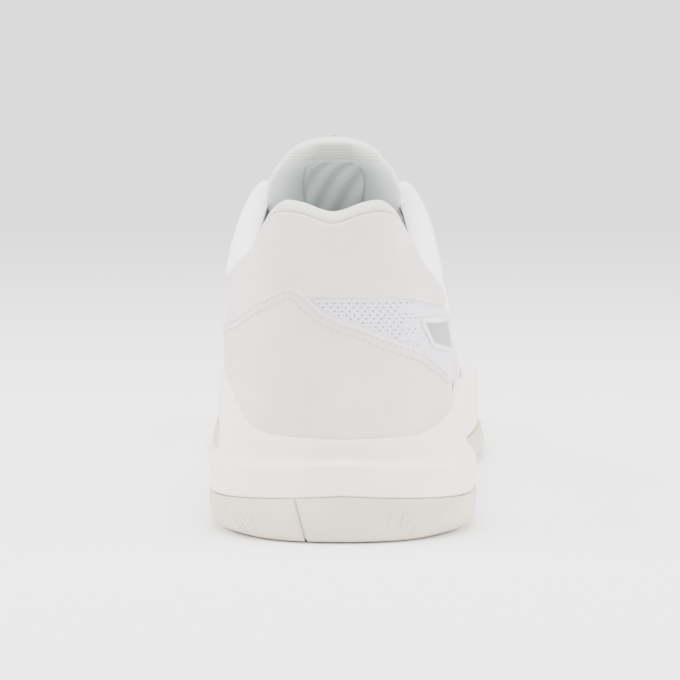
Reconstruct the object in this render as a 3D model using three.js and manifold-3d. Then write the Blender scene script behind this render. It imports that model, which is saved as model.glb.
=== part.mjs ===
// Court shoe for racket sports, right foot, in millimetres, +Z up.
// The shoe is drawn with its heel at y = 0 and its toe towards +Y, x = 0 on the middle of the
// heel and +X on the little-toe side. The last group moves it over its own middle.
import * as THREE from 'three';
import { mergeVertices } from 'three/addons/utils/BufferGeometryUtils.js';
import Module from 'manifold-3d';

const wasm = await Module();
wasm.setup();

// Driving dimensions
const shoeLength = 300;
const widthMiddle = 2.6;
const gap = 0.35;
const shellThickness = 1.6;
const overlayThickness = 1.1;
const counterThickness = 1.3;
const liningThickness = 0.8;
const throatStation = 0.69;
const outsoleThickness = 4;
const boardThickness = 1.4;
const sockThickness = 4.2;
const flexY = 213;
const flexZ = 25;
const flexAngle = THREE.MathUtils.degToRad(27);
const tongueFoldY = 118.5;
const tongueFoldZ = 105.5;
const tongueThickness = 7;
const eyeletRadius = 3;
const laceRadius = 1.2;
const heelGroove = -12.5;
const stationCount = 34;

// A smooth line through hand-set keys, given as [position, value] pairs.
function through(keys) {
  const slope = keys.map((key, i) => {
    const before = keys[Math.max(i - 1, 0)];
    const after = keys[Math.min(i + 1, keys.length - 1)];
    return (after[1] - before[1]) / (after[0] - before[0]);
  });
  return t => {
    let i = 0;
    while (i < keys.length - 2 && t > keys[i + 1][0]) i++;
    const [t0, a] = keys[i];
    const [t1, b] = keys[i + 1];
    const span = t1 - t0;
    const f = Math.min(Math.max((t - t0) / span, 0), 1);
    const f2 = f * f;
    const f3 = f2 * f;
    const bend = (f3 - 2 * f2 + f) * slope[i] + (f3 - f2) * slope[i + 1];
    return (2 * f3 - 3 * f2 + 1) * a + (3 * f2 - 2 * f3) * b + span * bend;
  };
}

// Plan outline of the sole: half widths along the stations s = 0 (heel) to s = 1 (toe tip).
const lateralWidth = through([[0, 0], [0.1, 25.5], [0.166, 36.5], [0.222, 40.3], [0.295, 41],
  [0.37, 40.5], [0.436, 41.5], [0.5, 46], [0.564, 52.5], [0.61, 55.2], [0.655, 55.2],
  [0.718, 50.5], [0.778, 43.5], [0.834, 34], [0.896, 20.5], [0.95, 6], [1, -7]]);
const medialWidth = through([[0, 0], [0.1, 25.5], [0.166, 36.3], [0.222, 39.8], [0.295, 39.6],
  [0.37, 36], [0.436, 34.2], [0.5, 38], [0.564, 46], [0.61, 49.8], [0.655, 50.4],
  [0.718, 49.4], [0.778, 46], [0.834, 40], [0.896, 30], [0.95, 18.8], [1, 7]]);

// The sole's outline and its outward direction at u, from -1 (toe, big-toe side) through
// 0 (heel) to 1 (toe, little-toe side).
function outline(u) {
  const s = Math.abs(u);
  const y = shoeLength * (1 - Math.cos(Math.PI * s)) / 2;
  const x = u < 0 ? -medialWidth(s) : lateralWidth(s);
  return new THREE.Vector2(x, y);
}

function outward(u) {
  const step = 0.004;
  const side = u < 0 ? -1 : 1;
  const near = outline(side * Math.max(Math.abs(u) - step, 0));
  const far = outline(side * Math.min(Math.abs(u) + step, 1));
  const along = far.sub(near).normalize();
  if (Math.abs(u) < step) along.set(side, 0);
  if (Math.abs(u) > 1 - step) along.set(-side, 0);
  return new THREE.Vector2(side * along.y, -side * along.x);
}

function atOffset(u, offset, z) {
  const p = outline(u);
  const n = outward(u);
  return new THREE.Vector3(p.x + n.x * offset, p.y + n.y * offset, z);
}

// Heights along the sole
const wallTopLateral = through([[0, 30.7], [0.1, 31.7], [0.13, 33.8], [0.166, 37], [0.22, 41.5],
  [0.27, 43.5], [0.32, 42.2], [0.37, 38.4], [0.436, 33.8], [0.5, 31.6], [0.6, 32.4], [0.7, 31.6],
  [0.8, 32], [0.9, 33], [1, 34]]);
const wallTopMedial = through([[0, 30.7], [0.1, 32.2], [0.13, 35.5], [0.166, 43], [0.22, 47.5],
  [0.27, 48], [0.32, 45.4], [0.37, 40.4], [0.436, 35], [0.5, 32], [0.6, 31.4], [0.7, 31.4],
  [0.8, 32], [0.9, 33], [1, 34]]);
const wallTop = u => (u < 0 ? wallTopMedial : wallTopLateral)(Math.abs(u));
const sweepUp = through([[0, 0], [0.16, 0], [0.66, 0], [0.76, 1.6], [0.88, 6],
  [1, 12.5]]);
const bottomRise = s => Math.max(sweepUp(s), 0);
const outsoleTop = through([[0, 14], [0.16, 11.6], [0.3, 10.6], [0.45, 9.5], [0.6, 11],
  [0.76, 12.4], [0.88, 16.5], [1, 22]]);
const bedHeight = through([[0, 23], [0.2, 22], [0.4, 19.5], [0.6, 15.5], [0.76, 15], [0.88, 17.5],
  [1, 21.5]]);
const heelFlare = through([[0, 0], [0.1, 0.5], [0.2, 1.5], [0.32, 1.6], [0.45, 0.4], [0.52, 0],
  [1, 0]]);
const wallInset = through([[0, 0.2], [0.3, 0.5], [0.45, 1.6], [0.6, 2.6], [0.8, 2.2], [1, 2]]);

// The top edge of the upper: the collar round the ankle, the throat of the lacing, and
// from the throat on the ridge over the toes.
const topAcross = through([[0, 0], [0.1, 15.3], [0.135, 19.2], [0.166, 21.4], [0.222, 25.5],
  [0.295, 31], [0.35, 34], [0.4, 35], [0.45, 33.2], [0.49, 29.8], [0.52, 25.4], [0.56, 19],
  [0.6, 15.8], [0.64, 14.5], [0.67, 11.2], [throatStation, 0]]);
const topAlong = through([[0, 9.9], [0.1, 10.8], [0.166, 17], [0.222, 30], [0.295, 52],
  [0.35, 72], [0.4, 90], [0.45, 105], [0.49, 115], [0.52, 120.5], [0.56, 139], [0.6, 158],
  [0.64, 177], [0.67, 189], [throatStation, 195.5], [0.76, 214], [0.86, 238], [1, 258]]);
const topHeight = through([[-0.06, 97.6], [0, 94.8], [0.06, 97.6], [0.1, 98.2], [0.135, 96.4],
  [0.166, 92.6], [0.222, 84.6], [0.295, 76], [0.35, 72.4], [0.4, 75], [0.45, 85.6], [0.49, 96.4],
  [0.52, 101.8], [0.56, 91.8], [0.6, 81.6], [0.64, 72.2], [0.67, 67], [throatStation, 64.6],
  [0.76, 59], [0.86, 53], [1, 48.6]]);
const topLean = through([[0, -2.7], [0.5, -2.4], [0.7, -2.6], [0.86, -5], [1, -7]]);
const medialLift = through([[0.2, 0], [0.35, 4], [0.5, 0.5], [0.56, 0]]);
const ridgeFall = 0.22;

function topEdge(u) {
  const s = Math.abs(u);
  const side = u < 0 ? -1 : 1;
  const lift = u < 0 ? medialLift(s) : 0;
  const across = s < throatStation ? topAcross(s) : 0;
  return new THREE.Vector3(topLean(s) + side * across, topAlong(s), topHeight(s) + lift);
}

// Cross-section of the upper at u: a Bezier line from the sole's bed to the top edge.
const footInset = through([[0, 9], [0.2, 8], [0.45, 8], [0.6, 9.5], [1, 9]]);
const bulgeInset = through([[0, -0.4], [0.1, 1.2], [0.2, 2.2], [0.3, 2.6], [0.45, 2.8], [0.6, 4],
  [0.8, 3.6], [1, 3]]);
const bulgeRise = through([[0, 25], [0.2, 22], [0.45, 24], [0.6, 19], [0.8, 15], [1, 14]]);
const shoulderOut = through([[0, -1.5], [0.1, 0.5], [0.2, 3.5], [0.3, 7], [0.35, 8], [0.42, 7.5],
  [0.48, 10], [0.52, 13], [0.56, 16], [0.62, 21], [0.7, 32], [0.8, 42], [0.9, 42], [1, 34]]);
const shoulderDrop = through([[0, 22], [0.1, 22], [0.2, 16], [0.3, 13], [0.36, 11], [0.42, 14],
  [0.48, 14], [0.52, 9], [0.56, 7], [0.62, 5.5], [0.66, 4.6]]);

function skinPoint(u, v) {
  const s = Math.abs(u);
  const top = topEdge(u);
  const bed = bedHeight(s);
  const foot = atOffset(u, -footInset(s), bed);
  const bulge = atOffset(u, -bulgeInset(s), bed + bulgeRise(s));
  const base = outline(u);
  const away = new THREE.Vector2(base.x - top.x, base.y - top.y).normalize();
  const out = shoulderOut(s);
  const ridgeDrop = ridgeFall * away.y * out;
  const blend = THREE.MathUtils.smoothstep(s, 0.62, throatStation);
  const drop = THREE.MathUtils.lerp(shoulderDrop(Math.min(s, 0.66)), ridgeDrop, blend);
  const shoulder = new THREE.Vector3(top.x + away.x * out, top.y + away.y * out, top.z - drop);
  return new THREE.CubicBezierCurve3(foot, bulge, shoulder, top).getPoint(v);
}

function rawNormal(u, v) {
  const step = 0.003;
  const side = u < 0 ? -1 : 1;
  const s = Math.abs(u);
  const down = skinPoint(u, Math.max(v - step, 0));
  const up = skinPoint(u, Math.min(v + step, 1));
  const back = skinPoint(side * (s - step), v);
  const front = skinPoint(side * Math.min(s + step, 1), v);
  const along = front.sub(back);
  const rise = up.sub(down);
  return along.cross(rise).multiplyScalar(side).normalize();
}

function skinNormal(u, v) {
  const onRidge = v > 0.999 && Math.abs(u) > throatStation - 0.0001;
  const onTip = Math.abs(u) > 0.9999;
  if (onRidge) return new THREE.Vector3(0, ridgeFall, 1).normalize();
  const n = rawNormal(u, v);
  if (onTip) n.add(rawNormal(-u, v));
  if (Math.abs(u) < 0.0001) n.x = 0;
  return n.normalize();
}

function skin(u, v, offset) {
  return skinPoint(u, v).addScaledVector(skinNormal(u, v), offset);
}

// The place v on the cross-section at u where the skin reaches height z.
function heightToV(u, z) {
  let low = 0;
  let high = 1;
  for (let i = 0; i < 24; i++) {
    const middle = (low + high) / 2;
    if (skinPoint(u, middle).z < z) low = middle;
    else high = middle;
  }
  return (low + high) / 2;
}

// Mesh helpers
function fromTriangles(points) {
  const geometry = new THREE.BufferGeometry().setFromPoints(points);
  const merged = mergeVertices(geometry, 0.0005);
  const index = merged.index.array;
  const kept = [];
  for (let i = 0; i < index.length; i += 3) {
    const [a, b, c] = [index[i], index[i + 1], index[i + 2]];
    if (a !== b && b !== c && c !== a) kept.push(a, b, c);
  }
  merged.setIndex(kept);
  if (volumeOf(merged) < 0) merged.setIndex(kept.reverse());
  return merged;
}

function volumeOf(geometry) {
  const p = geometry.attributes.position;
  const index = geometry.index.array;
  const [a, b, c] = [new THREE.Vector3(), new THREE.Vector3(), new THREE.Vector3()];
  let sum = 0;
  for (let i = 0; i < index.length; i += 3) {
    a.fromBufferAttribute(p, index[i]);
    b.fromBufferAttribute(p, index[i + 1]);
    c.fromBufferAttribute(p, index[i + 2]);
    sum += a.dot(b.cross(c)) / 6;
  }
  return sum;
}

function quad(points, a, b, c, d) {
  points.push(a, b, c, a, c, d);
}

// A shell between two sheets of points. A wall closes each border that is not sewn.
function shell(outer, inner, sewnTop) {
  const points = [];
  const rows = outer.length;
  const columns = outer[0].length;
  for (let i = 0; i + 1 < rows; i++) {
    for (let j = 0; j + 1 < columns; j++) {
      quad(points, outer[i][j], outer[i + 1][j], outer[i + 1][j + 1], outer[i][j + 1]);
      quad(points, inner[i][j + 1], inner[i + 1][j + 1], inner[i + 1][j], inner[i][j]);
    }
    const top = columns - 1;
    quad(points, inner[i][0], inner[i + 1][0], outer[i + 1][0], outer[i][0]);
    if (sewnTop && sewnTop(i)) continue;
    quad(points, outer[i][top], outer[i + 1][top], inner[i + 1][top], inner[i][top]);
  }
  if (!sewnTop) {
    const end = rows - 1;
    for (let j = 0; j + 1 < columns; j++) {
      quad(points, outer[0][j], outer[0][j + 1], inner[0][j + 1], inner[0][j]);
      quad(points, inner[end][j], inner[end][j + 1], outer[end][j + 1], outer[end][j]);
    }
  }
  return fromTriangles(points);
}

// A body lofted through closed loops. Each loop holds a left and a right half that face
// each other, so an end that has not shrunk to a line is closed across them.
function loft(loops, openEnds = true) {
  const points = [];
  const size = loops[0].length;
  for (let i = 0; i + 1 < loops.length; i++) {
    for (let j = 0; j < size; j++) {
      const k = (j + 1) % size;
      quad(points, loops[i][j], loops[i + 1][j], loops[i + 1][k], loops[i][k]);
    }
  }
  const half = size / 2;
  const last = loops.length - 1;
  for (let j = 0; openEnds && j + 1 < half; j++) {
    const mirror = size - 1 - j;
    quad(points, loops[0][j], loops[0][j + 1], loops[0][mirror - 1], loops[0][mirror]);
    quad(points, loops[last][mirror], loops[last][mirror - 1], loops[last][j + 1],
      loops[last][j]);
  }
  return fromTriangles(points);
}

const range = count => Array.from({ length: count + 1 }, (_, i) => i / count);

// Solid with a wall profile that follows the outline; profile(u) lists [offset, z].
function soleBody(profile, stations = stationCount) {
  const loops = range(stations).map(s => {
    const right = profile(s).map(([offset, z]) => atOffset(s, offset, z));
    const left = profile(-s || -1e-9).map(([offset, z]) => atOffset(-s || -1e-9, offset, z));
    if (s === 0 || s === 1) left.forEach((p, i) => p.copy(right[i]));
    return [...right, ...left.reverse()];
  });
  return loft(loops, false);
}

// Overlay or lining: a patch of the skin between two edges v, from uStart to uEnd.
function patch({ uStart, uEnd, low, high, from, to, across = 24, up = 6 }) {
  const sheet = offset => range(across).map(a => {
    const u = THREE.MathUtils.lerp(uStart, uEnd, a);
    return range(up).map(b => {
      const v = THREE.MathUtils.lerp(low(u), high(u), b);
      return skin(u, v, typeof offset === 'function' ? offset(u, v) : offset);
    });
  });
  return shell(sheet(to), sheet(from));
}

// Booleans
function solid(geometry) {
  const plain = geometry.clone();
  plain.deleteAttribute('normal');
  plain.deleteAttribute('uv');
  const merged = mergeVertices(plain, 0.0005);
  const vertProperties = new Float32Array(merged.attributes.position.array);
  const triVerts = new Uint32Array(merged.index.array);
  return new wasm.Manifold(new wasm.Mesh({ numProp: 3, vertProperties, triVerts }));
}

function geometryOf(body) {
  const mesh = body.getMesh();
  const geometry = new THREE.BufferGeometry();
  geometry.setAttribute('position', new THREE.BufferAttribute(mesh.vertProperties, 3));
  geometry.setIndex(new THREE.BufferAttribute(mesh.triVerts, 1));
  return geometry;
}

// A block that runs right across the shoe with the side view given as [y, z] corners.
function sideBlock(corners, xFrom = -90, xTo = 90) {
  const shape = new THREE.Shape(corners.map(([y, z]) => new THREE.Vector2(y, z)));
  const geometry = new THREE.ExtrudeGeometry(shape, { depth: xTo - xFrom, bevelEnabled: false });
  geometry.applyMatrix4(new THREE.Matrix4().makeBasis(
    new THREE.Vector3(0, 1, 0), new THREE.Vector3(0, 0, 1), new THREE.Vector3(1, 0, 0)));
  geometry.translate(xFrom, 0, 0);
  return solid(geometry);
}

// The forefoot bends about a line across the ball. Below the line the two halves part as the
// toe rises; above it they close up, so the rear half is cut back by the bend angle.
const blockTop = 140;
const cutBack = (blockTop - flexZ) * Math.tan(flexAngle);
const rearBlock = sideBlock([[-20, -10], [flexY - gap, -10], [flexY - gap, flexZ],
  [flexY - gap - cutBack, blockTop], [-20, blockTop]]);
const frontBlock = sideBlock([[flexY, -10], [320, -10], [320, blockTop], [flexY, blockTop]]);
const bendBlock = sideBlock([[flexY - gap, flexZ + 4], [flexY - gap, blockTop],
  [flexY - cutBack, blockTop], [flexY - 2 * Math.tan(flexAngle), flexZ + 4]]);

const shoe = new THREE.Group();
shoe.position.set(-widthMiddle, -shoeLength / 2, 0);

const finishes = {
  panel: [0xe6e0e0, 0.55, 0],
  mesh: [0xe2e2ea, 0.85, 0],
  lining: [0xc9cbc6, 0.9, 0],
  rim: [0xe8e6e6, 0.85, 0],
  foam: [0xd8d4c8, 0.95, 0],
  midsole: [0xeee6e2, 0.6, 0],
  rubber: [0xd4ccc4, 0.7, 0],
  plate: [0xc8c8cc, 0.35, 0],
  silver: [0xb4b6ba, 0.3, 0.5],
  board: [0xe0dccc, 0.9, 0],
  lace: [0xf0efee, 0.8, 0],
};

function add(name, geometry, finish) {
  const [color, roughness, metalness] = finishes[finish];
  const material = new THREE.MeshStandardMaterial({ color, roughness, metalness });
  const mesh = new THREE.Mesh(geometry, material);
  mesh.name = name;
  shoe.add(mesh);
}

// Outsole: a rubber shell with rounded lower corners, cut into a heel and a forefoot
// field with the midfoot open between them.
// The rubber's edge is crisp behind the heel, rounder at its sides, and round with a low lip
// under the forefoot.
function outsoleProfile(u) {
  const s = Math.abs(u);
  const low = bottomRise(s);
  const top = outsoleTop(s);
  const forward = THREE.MathUtils.smoothstep(s, 0.34, 0.52);
  const blend = (heel, forefoot) => THREE.MathUtils.lerp(heel, forefoot, forward);
  const flare = heelFlare(s);
  const corner = 1 + 1.8 * THREE.MathUtils.smoothstep(s, 0.06, 0.16);
  return [[-14, low], [blend(-1.9 * corner, -8) + flare, low + 0.2],
    [blend(-0.8 * corner, -3) + flare, low + 1.6],
    [blend(-0.3 * corner, -0.3) + flare, low + 3.6],
    [blend(0, -0.5) + flare, blend(top - 2, low + 6)], [blend(-0.6, -1.8) + flare, top],
    [-13, low + outsoleThickness + 1.6], [-17, low + outsoleThickness]];
}

function outsolePieces() {
  const whole = solid(soleBody(outsoleProfile));
  const heelEnd = 96;
  const ballStart = 132;
  const block = (y0, y1, x0, x1) =>
    sideBlock([[y0, -10], [y1, -10], [y1, 60], [y0, 60]], x0, x1);
  const groove = 1.2;
  const heelLateral = whole.intersect(block(-20, heelEnd, heelGroove + groove / 2, 90));
  const heelMedial = whole.intersect(block(-20, heelEnd, -90, heelGroove - groove / 2));
  const ball = whole.intersect(rearBlock).intersect(block(ballStart, 320, -90, 90));
  add('outsole_heel_lateral', geometryOf(heelLateral), 'rubber');
  add('outsole_heel_medial', geometryOf(heelMedial), 'rubber');
  add('outsole_ball', geometryOf(ball), 'rubber');
  add('outsole_toe', geometryOf(whole.intersect(frontBlock)), 'rubber');
}

// Midsole: a foam cup whose walls rise round the upper, with a groove round the heel.
function midsoleProfile(u) {
  const s = Math.abs(u);
  const low = bottomRise(s) + outsoleThickness + gap;
  const seam = outsoleTop(s) + gap;
  const top = wallTop(u);
  const bed = bedHeight(s) - boardThickness - 2 * gap;
  const ridge = Math.min(seam + 9.3, top - 6);
  const waist = 1 - THREE.MathUtils.smoothstep(s, 0.08, 0.22);
  const inset = wallInset(s);
  const wall = z => atOffsetOfSkin(u, z);
  const flare = heelFlare(s);
  const upperOut = -inset - 1.4 + 0.8 * THREE.MathUtils.smoothstep(s, 0.45, 0.6) - 1.8 * waist;
  return [[-17, low + 0.2], [-13, low + 1.8], [-inset - 0.3 + flare, seam],
    [-inset + flare, ridge],
    [upperOut - 0.4 * waist, (ridge + top) / 2], [upperOut, top - 1.2],
    [(upperOut + wall(top)) / 2, top], [wall(top - 1.5), top - 1.5],
    [wall((top + bed) / 2), (top + bed) / 2], [wall(bed + 1), bed], [-17, bed]];
}

// Offset from the outline of the wall's inner face, which follows the skin at height z.
function atOffsetOfSkin(u, z) {
  const s = Math.abs(u);
  const height = Math.max(z, bedHeight(s));
  const p = skinPoint(u, heightToV(u, height));
  const base = outline(u);
  const n = outward(u);
  return (p.x - base.x) * n.x + (p.y - base.y) * n.y + overlayThickness + 3 * gap;
}

const padShape = (radiusX, radiusY, height) => {
  const shape = new THREE.Shape();
  shape.absellipse(0, 0, radiusX, radiusY, 0, 2 * Math.PI);
  return new THREE.ExtrudeGeometry(shape, { depth: height, bevelEnabled: false,
    curveSegments: 14 });
};

const heelPad = { x: 0, y: 48, z: 11, width: 22, length: 26, depth: 7 };
const ballPad = { x: 2, y: 180, z: 7.8, width: 26, length: 17, depth: 4.2 };
const shank = { x: 0, width: 24, from: 84, to: 150, z: 5.2, depth: 2 };

function pad({ x, y, z, width, length, depth }, clearance) {
  const geometry = padShape(width + clearance, length + clearance, depth + clearance);
  return geometry.translate(x, y, z - clearance);
}

function shankPlate(clearance) {
  const half = shank.width / 2 + clearance;
  const shape = new THREE.Shape();
  shape.moveTo(shank.x - half, shank.from - clearance);
  shape.quadraticCurveTo(shank.x - half / 2, 117, shank.x - half - 6, shank.to + clearance);
  shape.lineTo(shank.x + half + 6, shank.to + clearance);
  shape.quadraticCurveTo(shank.x + half / 2, 117, shank.x + half, shank.from - clearance);
  const below = clearance > 0 ? shank.z : 0;
  const depth = shank.depth + clearance + below;
  const geometry = new THREE.ExtrudeGeometry(shape, { depth, bevelEnabled: false,
    curveSegments: 8 });
  return geometry.translate(0, 0, shank.z - below);
}

function midsolePieces() {
  const openUp = { ...heelPad, depth: 30 };
  const ballUp = { ...ballPad, depth: 30 };
  const whole = solid(soleBody(midsoleProfile))
    .subtract(solid(pad(openUp, gap)))
    .subtract(solid(pad(ballUp, gap)))
    .subtract(solid(shankPlate(gap)));
  add('midsole_rear', geometryOf(whole.intersect(rearBlock)), 'midsole');
  add('midsole_forefoot', geometryOf(whole.intersect(frontBlock)), 'midsole');
  add('heel_cushion_insert', pad(heelPad, 0), 'plate');
  add('ball_cushion_insert', pad(ballPad, 0), 'plate');
  add('midfoot_shank', shankPlate(0), 'plate');
}

// Boards and sock inside the shoe: flat layers inside the skin.
function bedLayer(bottom, thickness, inset) {
  return soleBody(u => {
    const s = Math.abs(u);
    const z = bedHeight(s) + bottom;
    const edge = -footInset(s) - inset;
    return [[-19, z], [edge, z], [edge, z + thickness], [-19, z + thickness]];
  }, 24);
}

function bedPieces() {
  const board = solid(bedLayer(-boardThickness - gap, boardThickness, 1));
  add('lasting_board_rear', geometryOf(board.intersect(rearBlock)), 'board');
  add('lasting_board_front', geometryOf(board.intersect(frontBlock)), 'board');
  const sock = solid(bedLayer(0, sockThickness, shellThickness + counterThickness + 1.6));
  add('sockliner_rear', geometryOf(sock.intersect(rearBlock)), 'lining');
  add('sockliner_front', geometryOf(sock.intersect(frontBlock)), 'lining');
}

// Upper
function upperBody() {
  const count = 31;
  const stations = range(2 * count).map(a => 2 * a - 1);
  stations.push(-throatStation, throatStation, -0.665, 0.665, -0.682, 0.682);
  stations.sort((a, b) => a - b);
  const rows = 6;
  const sheet = offset => stations.map(u => range(rows).map(v => skin(u, v, offset)));
  const sewn = i => Math.min(Math.abs(stations[i]), Math.abs(stations[i + 1]))
    > throatStation - 0.0001;
  return shell(sheet(0), sheet(-shellThickness), sewn);
}

function rod(point, direction, radius, reach) {
  const geometry = new THREE.CylinderGeometry(radius, radius, 2 * reach, 10);
  const turn = new THREE.Quaternion().setFromUnitVectors(new THREE.Vector3(0, 1, 0), direction);
  geometry.applyQuaternion(turn);
  return solid(geometry.translate(point.x, point.y, point.z));
}

const eyeletStations = [0.536, 0.559, 0.582, 0.605, 0.628, 0.652];
const eyeletV = 0.89;
const eyelets = side => eyeletStations.map(s => rod(skin(side * s, eyeletV, 0),
  skinNormal(side * s, eyeletV), eyeletRadius, 5));

function punched(body, side) {
  return eyelets(side).reduce((rest, hole) => rest.subtract(hole), body);
}

function upperPieces() {
  const whole = punched(punched(solid(upperBody()), 1), -1);
  add('upper_shell', geometryOf(whole.intersect(rearBlock)), 'mesh');
  add('toe_box', geometryOf(whole.intersect(frontBlock)), 'mesh');
  add('vamp_flex_panel', geometryOf(whole.intersect(bendBlock)), 'mesh');
}

// Upper overlays, laid on the shell with a small gap
const overlayFrom = 0.55;
const overlayTo = overlayFrom + overlayThickness;
const heelOverlayTop = through([[-0.36, 58], [-0.297, 61.8], [-0.185, 66.8], [-0.137, 71.3],
  [-0.105, 74], [-0.088, 75.6], [-0.074, 76], [-0.061, 75.1], [-0.05, 73.5], [-0.022, 68.8],
  [0.011, 65.8], [0.032, 64.6], [0.084, 59.9], [0.129, 56.2], [0.178, 49.8], [0.19, 48.4]]);
const rearPanelLow = through([[-0.34, 70], [-0.2, 68.6], [-0.185, 68.8], [-0.137, 73.1],
  [-0.105, 75.8], [-0.088, 77.4], [-0.074, 77.8], [-0.061, 76.9], [-0.05, 75.3], [-0.03, 73.2], [0, 72.6],
  [0.1, 72.4], [0.2, 69.6], [0.3, 66.8], [0.345, 68.4]]);

function rearOverlays() {
  add('rear_panel', patch({
    uStart: -0.34, uEnd: 0.34, from: overlayFrom, to: overlayTo, across: 32, up: 3,
    low: u => heightToV(u, rearPanelLow(u)), high: () => 1,
  }), 'panel');
  add('heel_overlay', patch({
    uStart: -0.36, uEnd: 0.19, from: overlayFrom, to: overlayTo, across: 34, up: 3,
    low: u => heightToV(u, wallTop(u) - 3), high: u => heightToV(u, heelOverlayTop(u)),
  }), 'panel');
}

function sideOverlays() {
  for (const [name, side] of [['lateral', 1], ['medial', -1]]) {
    add(`side_overlay_${name}`, patch({
      uStart: side * 0.4, uEnd: side * 0.55, from: overlayFrom, to: overlayTo, across: 9, up: 5,
      low: u => heightToV(u, wallTop(u) - 3), high: () => 0.72,
    }), 'panel');
    const stay = patch({
      uStart: side * 0.41, uEnd: side * 0.668, from: overlayFrom, to: overlayTo, across: 26,
      up: 2, low: () => 0.76, high: () => 1,
    });
    add(`eyestay_${name}`, geometryOf(punched(solid(stay), side)), 'panel');
  }
}

function windowPieces() {
  const frameTop = u => THREE.MathUtils.mapLinear(u, 0.155, 0.29, 65, 62.8);
  const frameLow = u => THREE.MathUtils.mapLinear(u, 0.155, 0.29, 57.8, 53);
  const border = 1.1;
  const frame = patch({
    uStart: 0.155, uEnd: 0.29, from: overlayFrom, to: overlayTo, across: 4, up: 1,
    low: u => heightToV(u, frameLow(u)), high: u => heightToV(u, frameTop(u)),
  });
  const hole = patch({
    uStart: 0.162, uEnd: 0.283, from: -gap / 2, to: overlayTo + 1, across: 4, up: 1,
    low: u => heightToV(u, frameLow(u) + border), high: u => heightToV(u, frameTop(u) - border),
  });
  const inlay = patch({
    uStart: 0.1635, uEnd: 0.2815, from: gap, to: gap + overlayThickness / 2, across: 4, up: 1,
    low: u => heightToV(u, frameLow(u) + 1.4), high: u => heightToV(u, frameTop(u) - 1.4),
  });
  add('window_frame', geometryOf(solid(frame).subtract(solid(hole))), 'panel');
  add('window_inlay', inlay, 'silver');
}

function toePieces() {
  const around = p => (p >= 0 ? 1 - p : -1 - p);
  const band = (low, high, from, to, reach) => {
    const sheet = offset => range(20).map(a => {
      const u = around(THREE.MathUtils.lerp(reach, -reach, a));
      return range(3).map(b => {
        const v = THREE.MathUtils.lerp(low(u), high(u), b);
        return skin(u, v, offset);
      });
    });
    return shell(sheet(to), sheet(from));
  };
  const rise = u => 4 + 3 * THREE.MathUtils.smoothstep(Math.abs(u), 0.78, 0.96);
  add('toe_guard', band(u => heightToV(u, wallTop(u) + 1),
    u => Math.min(heightToV(u, wallTop(u) + rise(u)), 0.8), overlayFrom, overlayTo, 0.2),
  'rubber');
  add('toe_puff', band(u => 0.12, () => 0.8, -shellThickness - 2 * gap - liningThickness,
    -shellThickness - 2 * gap, 0.16), 'board');
}

// Heel interior
const counterTo = -shellThickness - 2 * gap;
const counterFrom = counterTo - counterThickness;
const padOuter = counterFrom - gap;
const padDepth = (u, v) => {
  const crown = Math.sin(Math.PI * THREE.MathUtils.clamp((v - 0.3) / 0.72, 0, 1));
  return 1.6 + 4.6 * crown;
};

function heelInterior() {
  add('heel_counter', patch({
    uStart: -0.33, uEnd: 0.33, from: counterFrom, to: counterTo, across: 22, up: 3,
    low: () => 0.1, high: u => heightToV(u, 62 - 60 * u * u),
  }), 'board');
  add('collar_padding', patch({
    uStart: -0.43, uEnd: 0.43, from: (u, v) => padOuter - padDepth(u, v), to: padOuter,
    across: 26, up: 4,
    low: () => 0.36, high: u => heightToV(u, topEdge(u).z - 3.4),
  }), 'foam');
  add('collar_lining', patch({
    uStart: -0.44, uEnd: 0.44, from: (u, v) => padOuter - padDepth(u, v) - gap - liningThickness,
    to: (u, v) => padOuter - padDepth(u, v) - gap, across: 26, up: 5,
    low: () => 0.13, high: u => heightToV(u, topEdge(u).z - 3.4),
  }), 'lining');
}

// Collar rim: a padded roll that follows the top edge, just inside the shell.
const rimInset = 5;
const rimLift = 0.4;
const rimWidth = 3;
const rimHeight = 2.7;

function rimCentre(u) {
  const n = skinNormal(u, 0.97);
  const flat = new THREE.Vector3(n.x, n.y, 0).normalize();
  return topEdge(u).addScaledVector(flat, -rimInset).add(new THREE.Vector3(0, 0, rimLift));
}

function collarRim() {
  const reach = 0.468;
  const sides = 8;
  const loops = range(40).map(a => {
    const u = THREE.MathUtils.lerp(-reach, reach, a);
    const centre = rimCentre(u);
    const n = skinNormal(u, 0.97);
    const flat = new THREE.Vector3(n.x, n.y, 0).normalize();
    return range(sides - 1).map((_, i) => {
      const angle = 2 * Math.PI * (i + 0.5) / sides;
      return centre.clone().addScaledVector(flat, rimWidth * Math.cos(angle))
        .add(new THREE.Vector3(0, 0, rimHeight * Math.sin(angle)));
    });
  });
  add('collar_rim', loft(loops), 'rim');
}

// Tongue: a padded strip under the lacing that stands up in front of the ankle.
const tongueHeight = through([[0, 60], [0.2, 68.6], [0.4, 81.5], [0.58, 94.2], [0.7, 102.4],
  [0.8, 109.2], [0.9, 115.8], [1, 121.5]]);
const tongueAlong = through([[0, 193], [0.2, 179.5], [0.4, 159], [0.58, 138.5], [0.7, 126.5],
  [0.8, 120], [0.9, 116.6], [1, 115.4]]);
const tongueHalf = through([[0, 10], [0.2, 15], [0.58, 17.5], [0.7, 21], [0.8, 22],
  [0.86, 19.6], [0.92, 15.4], [0.96, 11.4], [1, 5.5]]);
const tongueArch = through([[0, 1.5], [0.2, 4], [0.58, 6.5], [0.8, 7], [1, 1.2]]);
const tongueFull = through([[0, 2.6], [0.3, 4], [0.6, tongueThickness], [0.9, tongueThickness],
  [1, 3.6]]);

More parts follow.
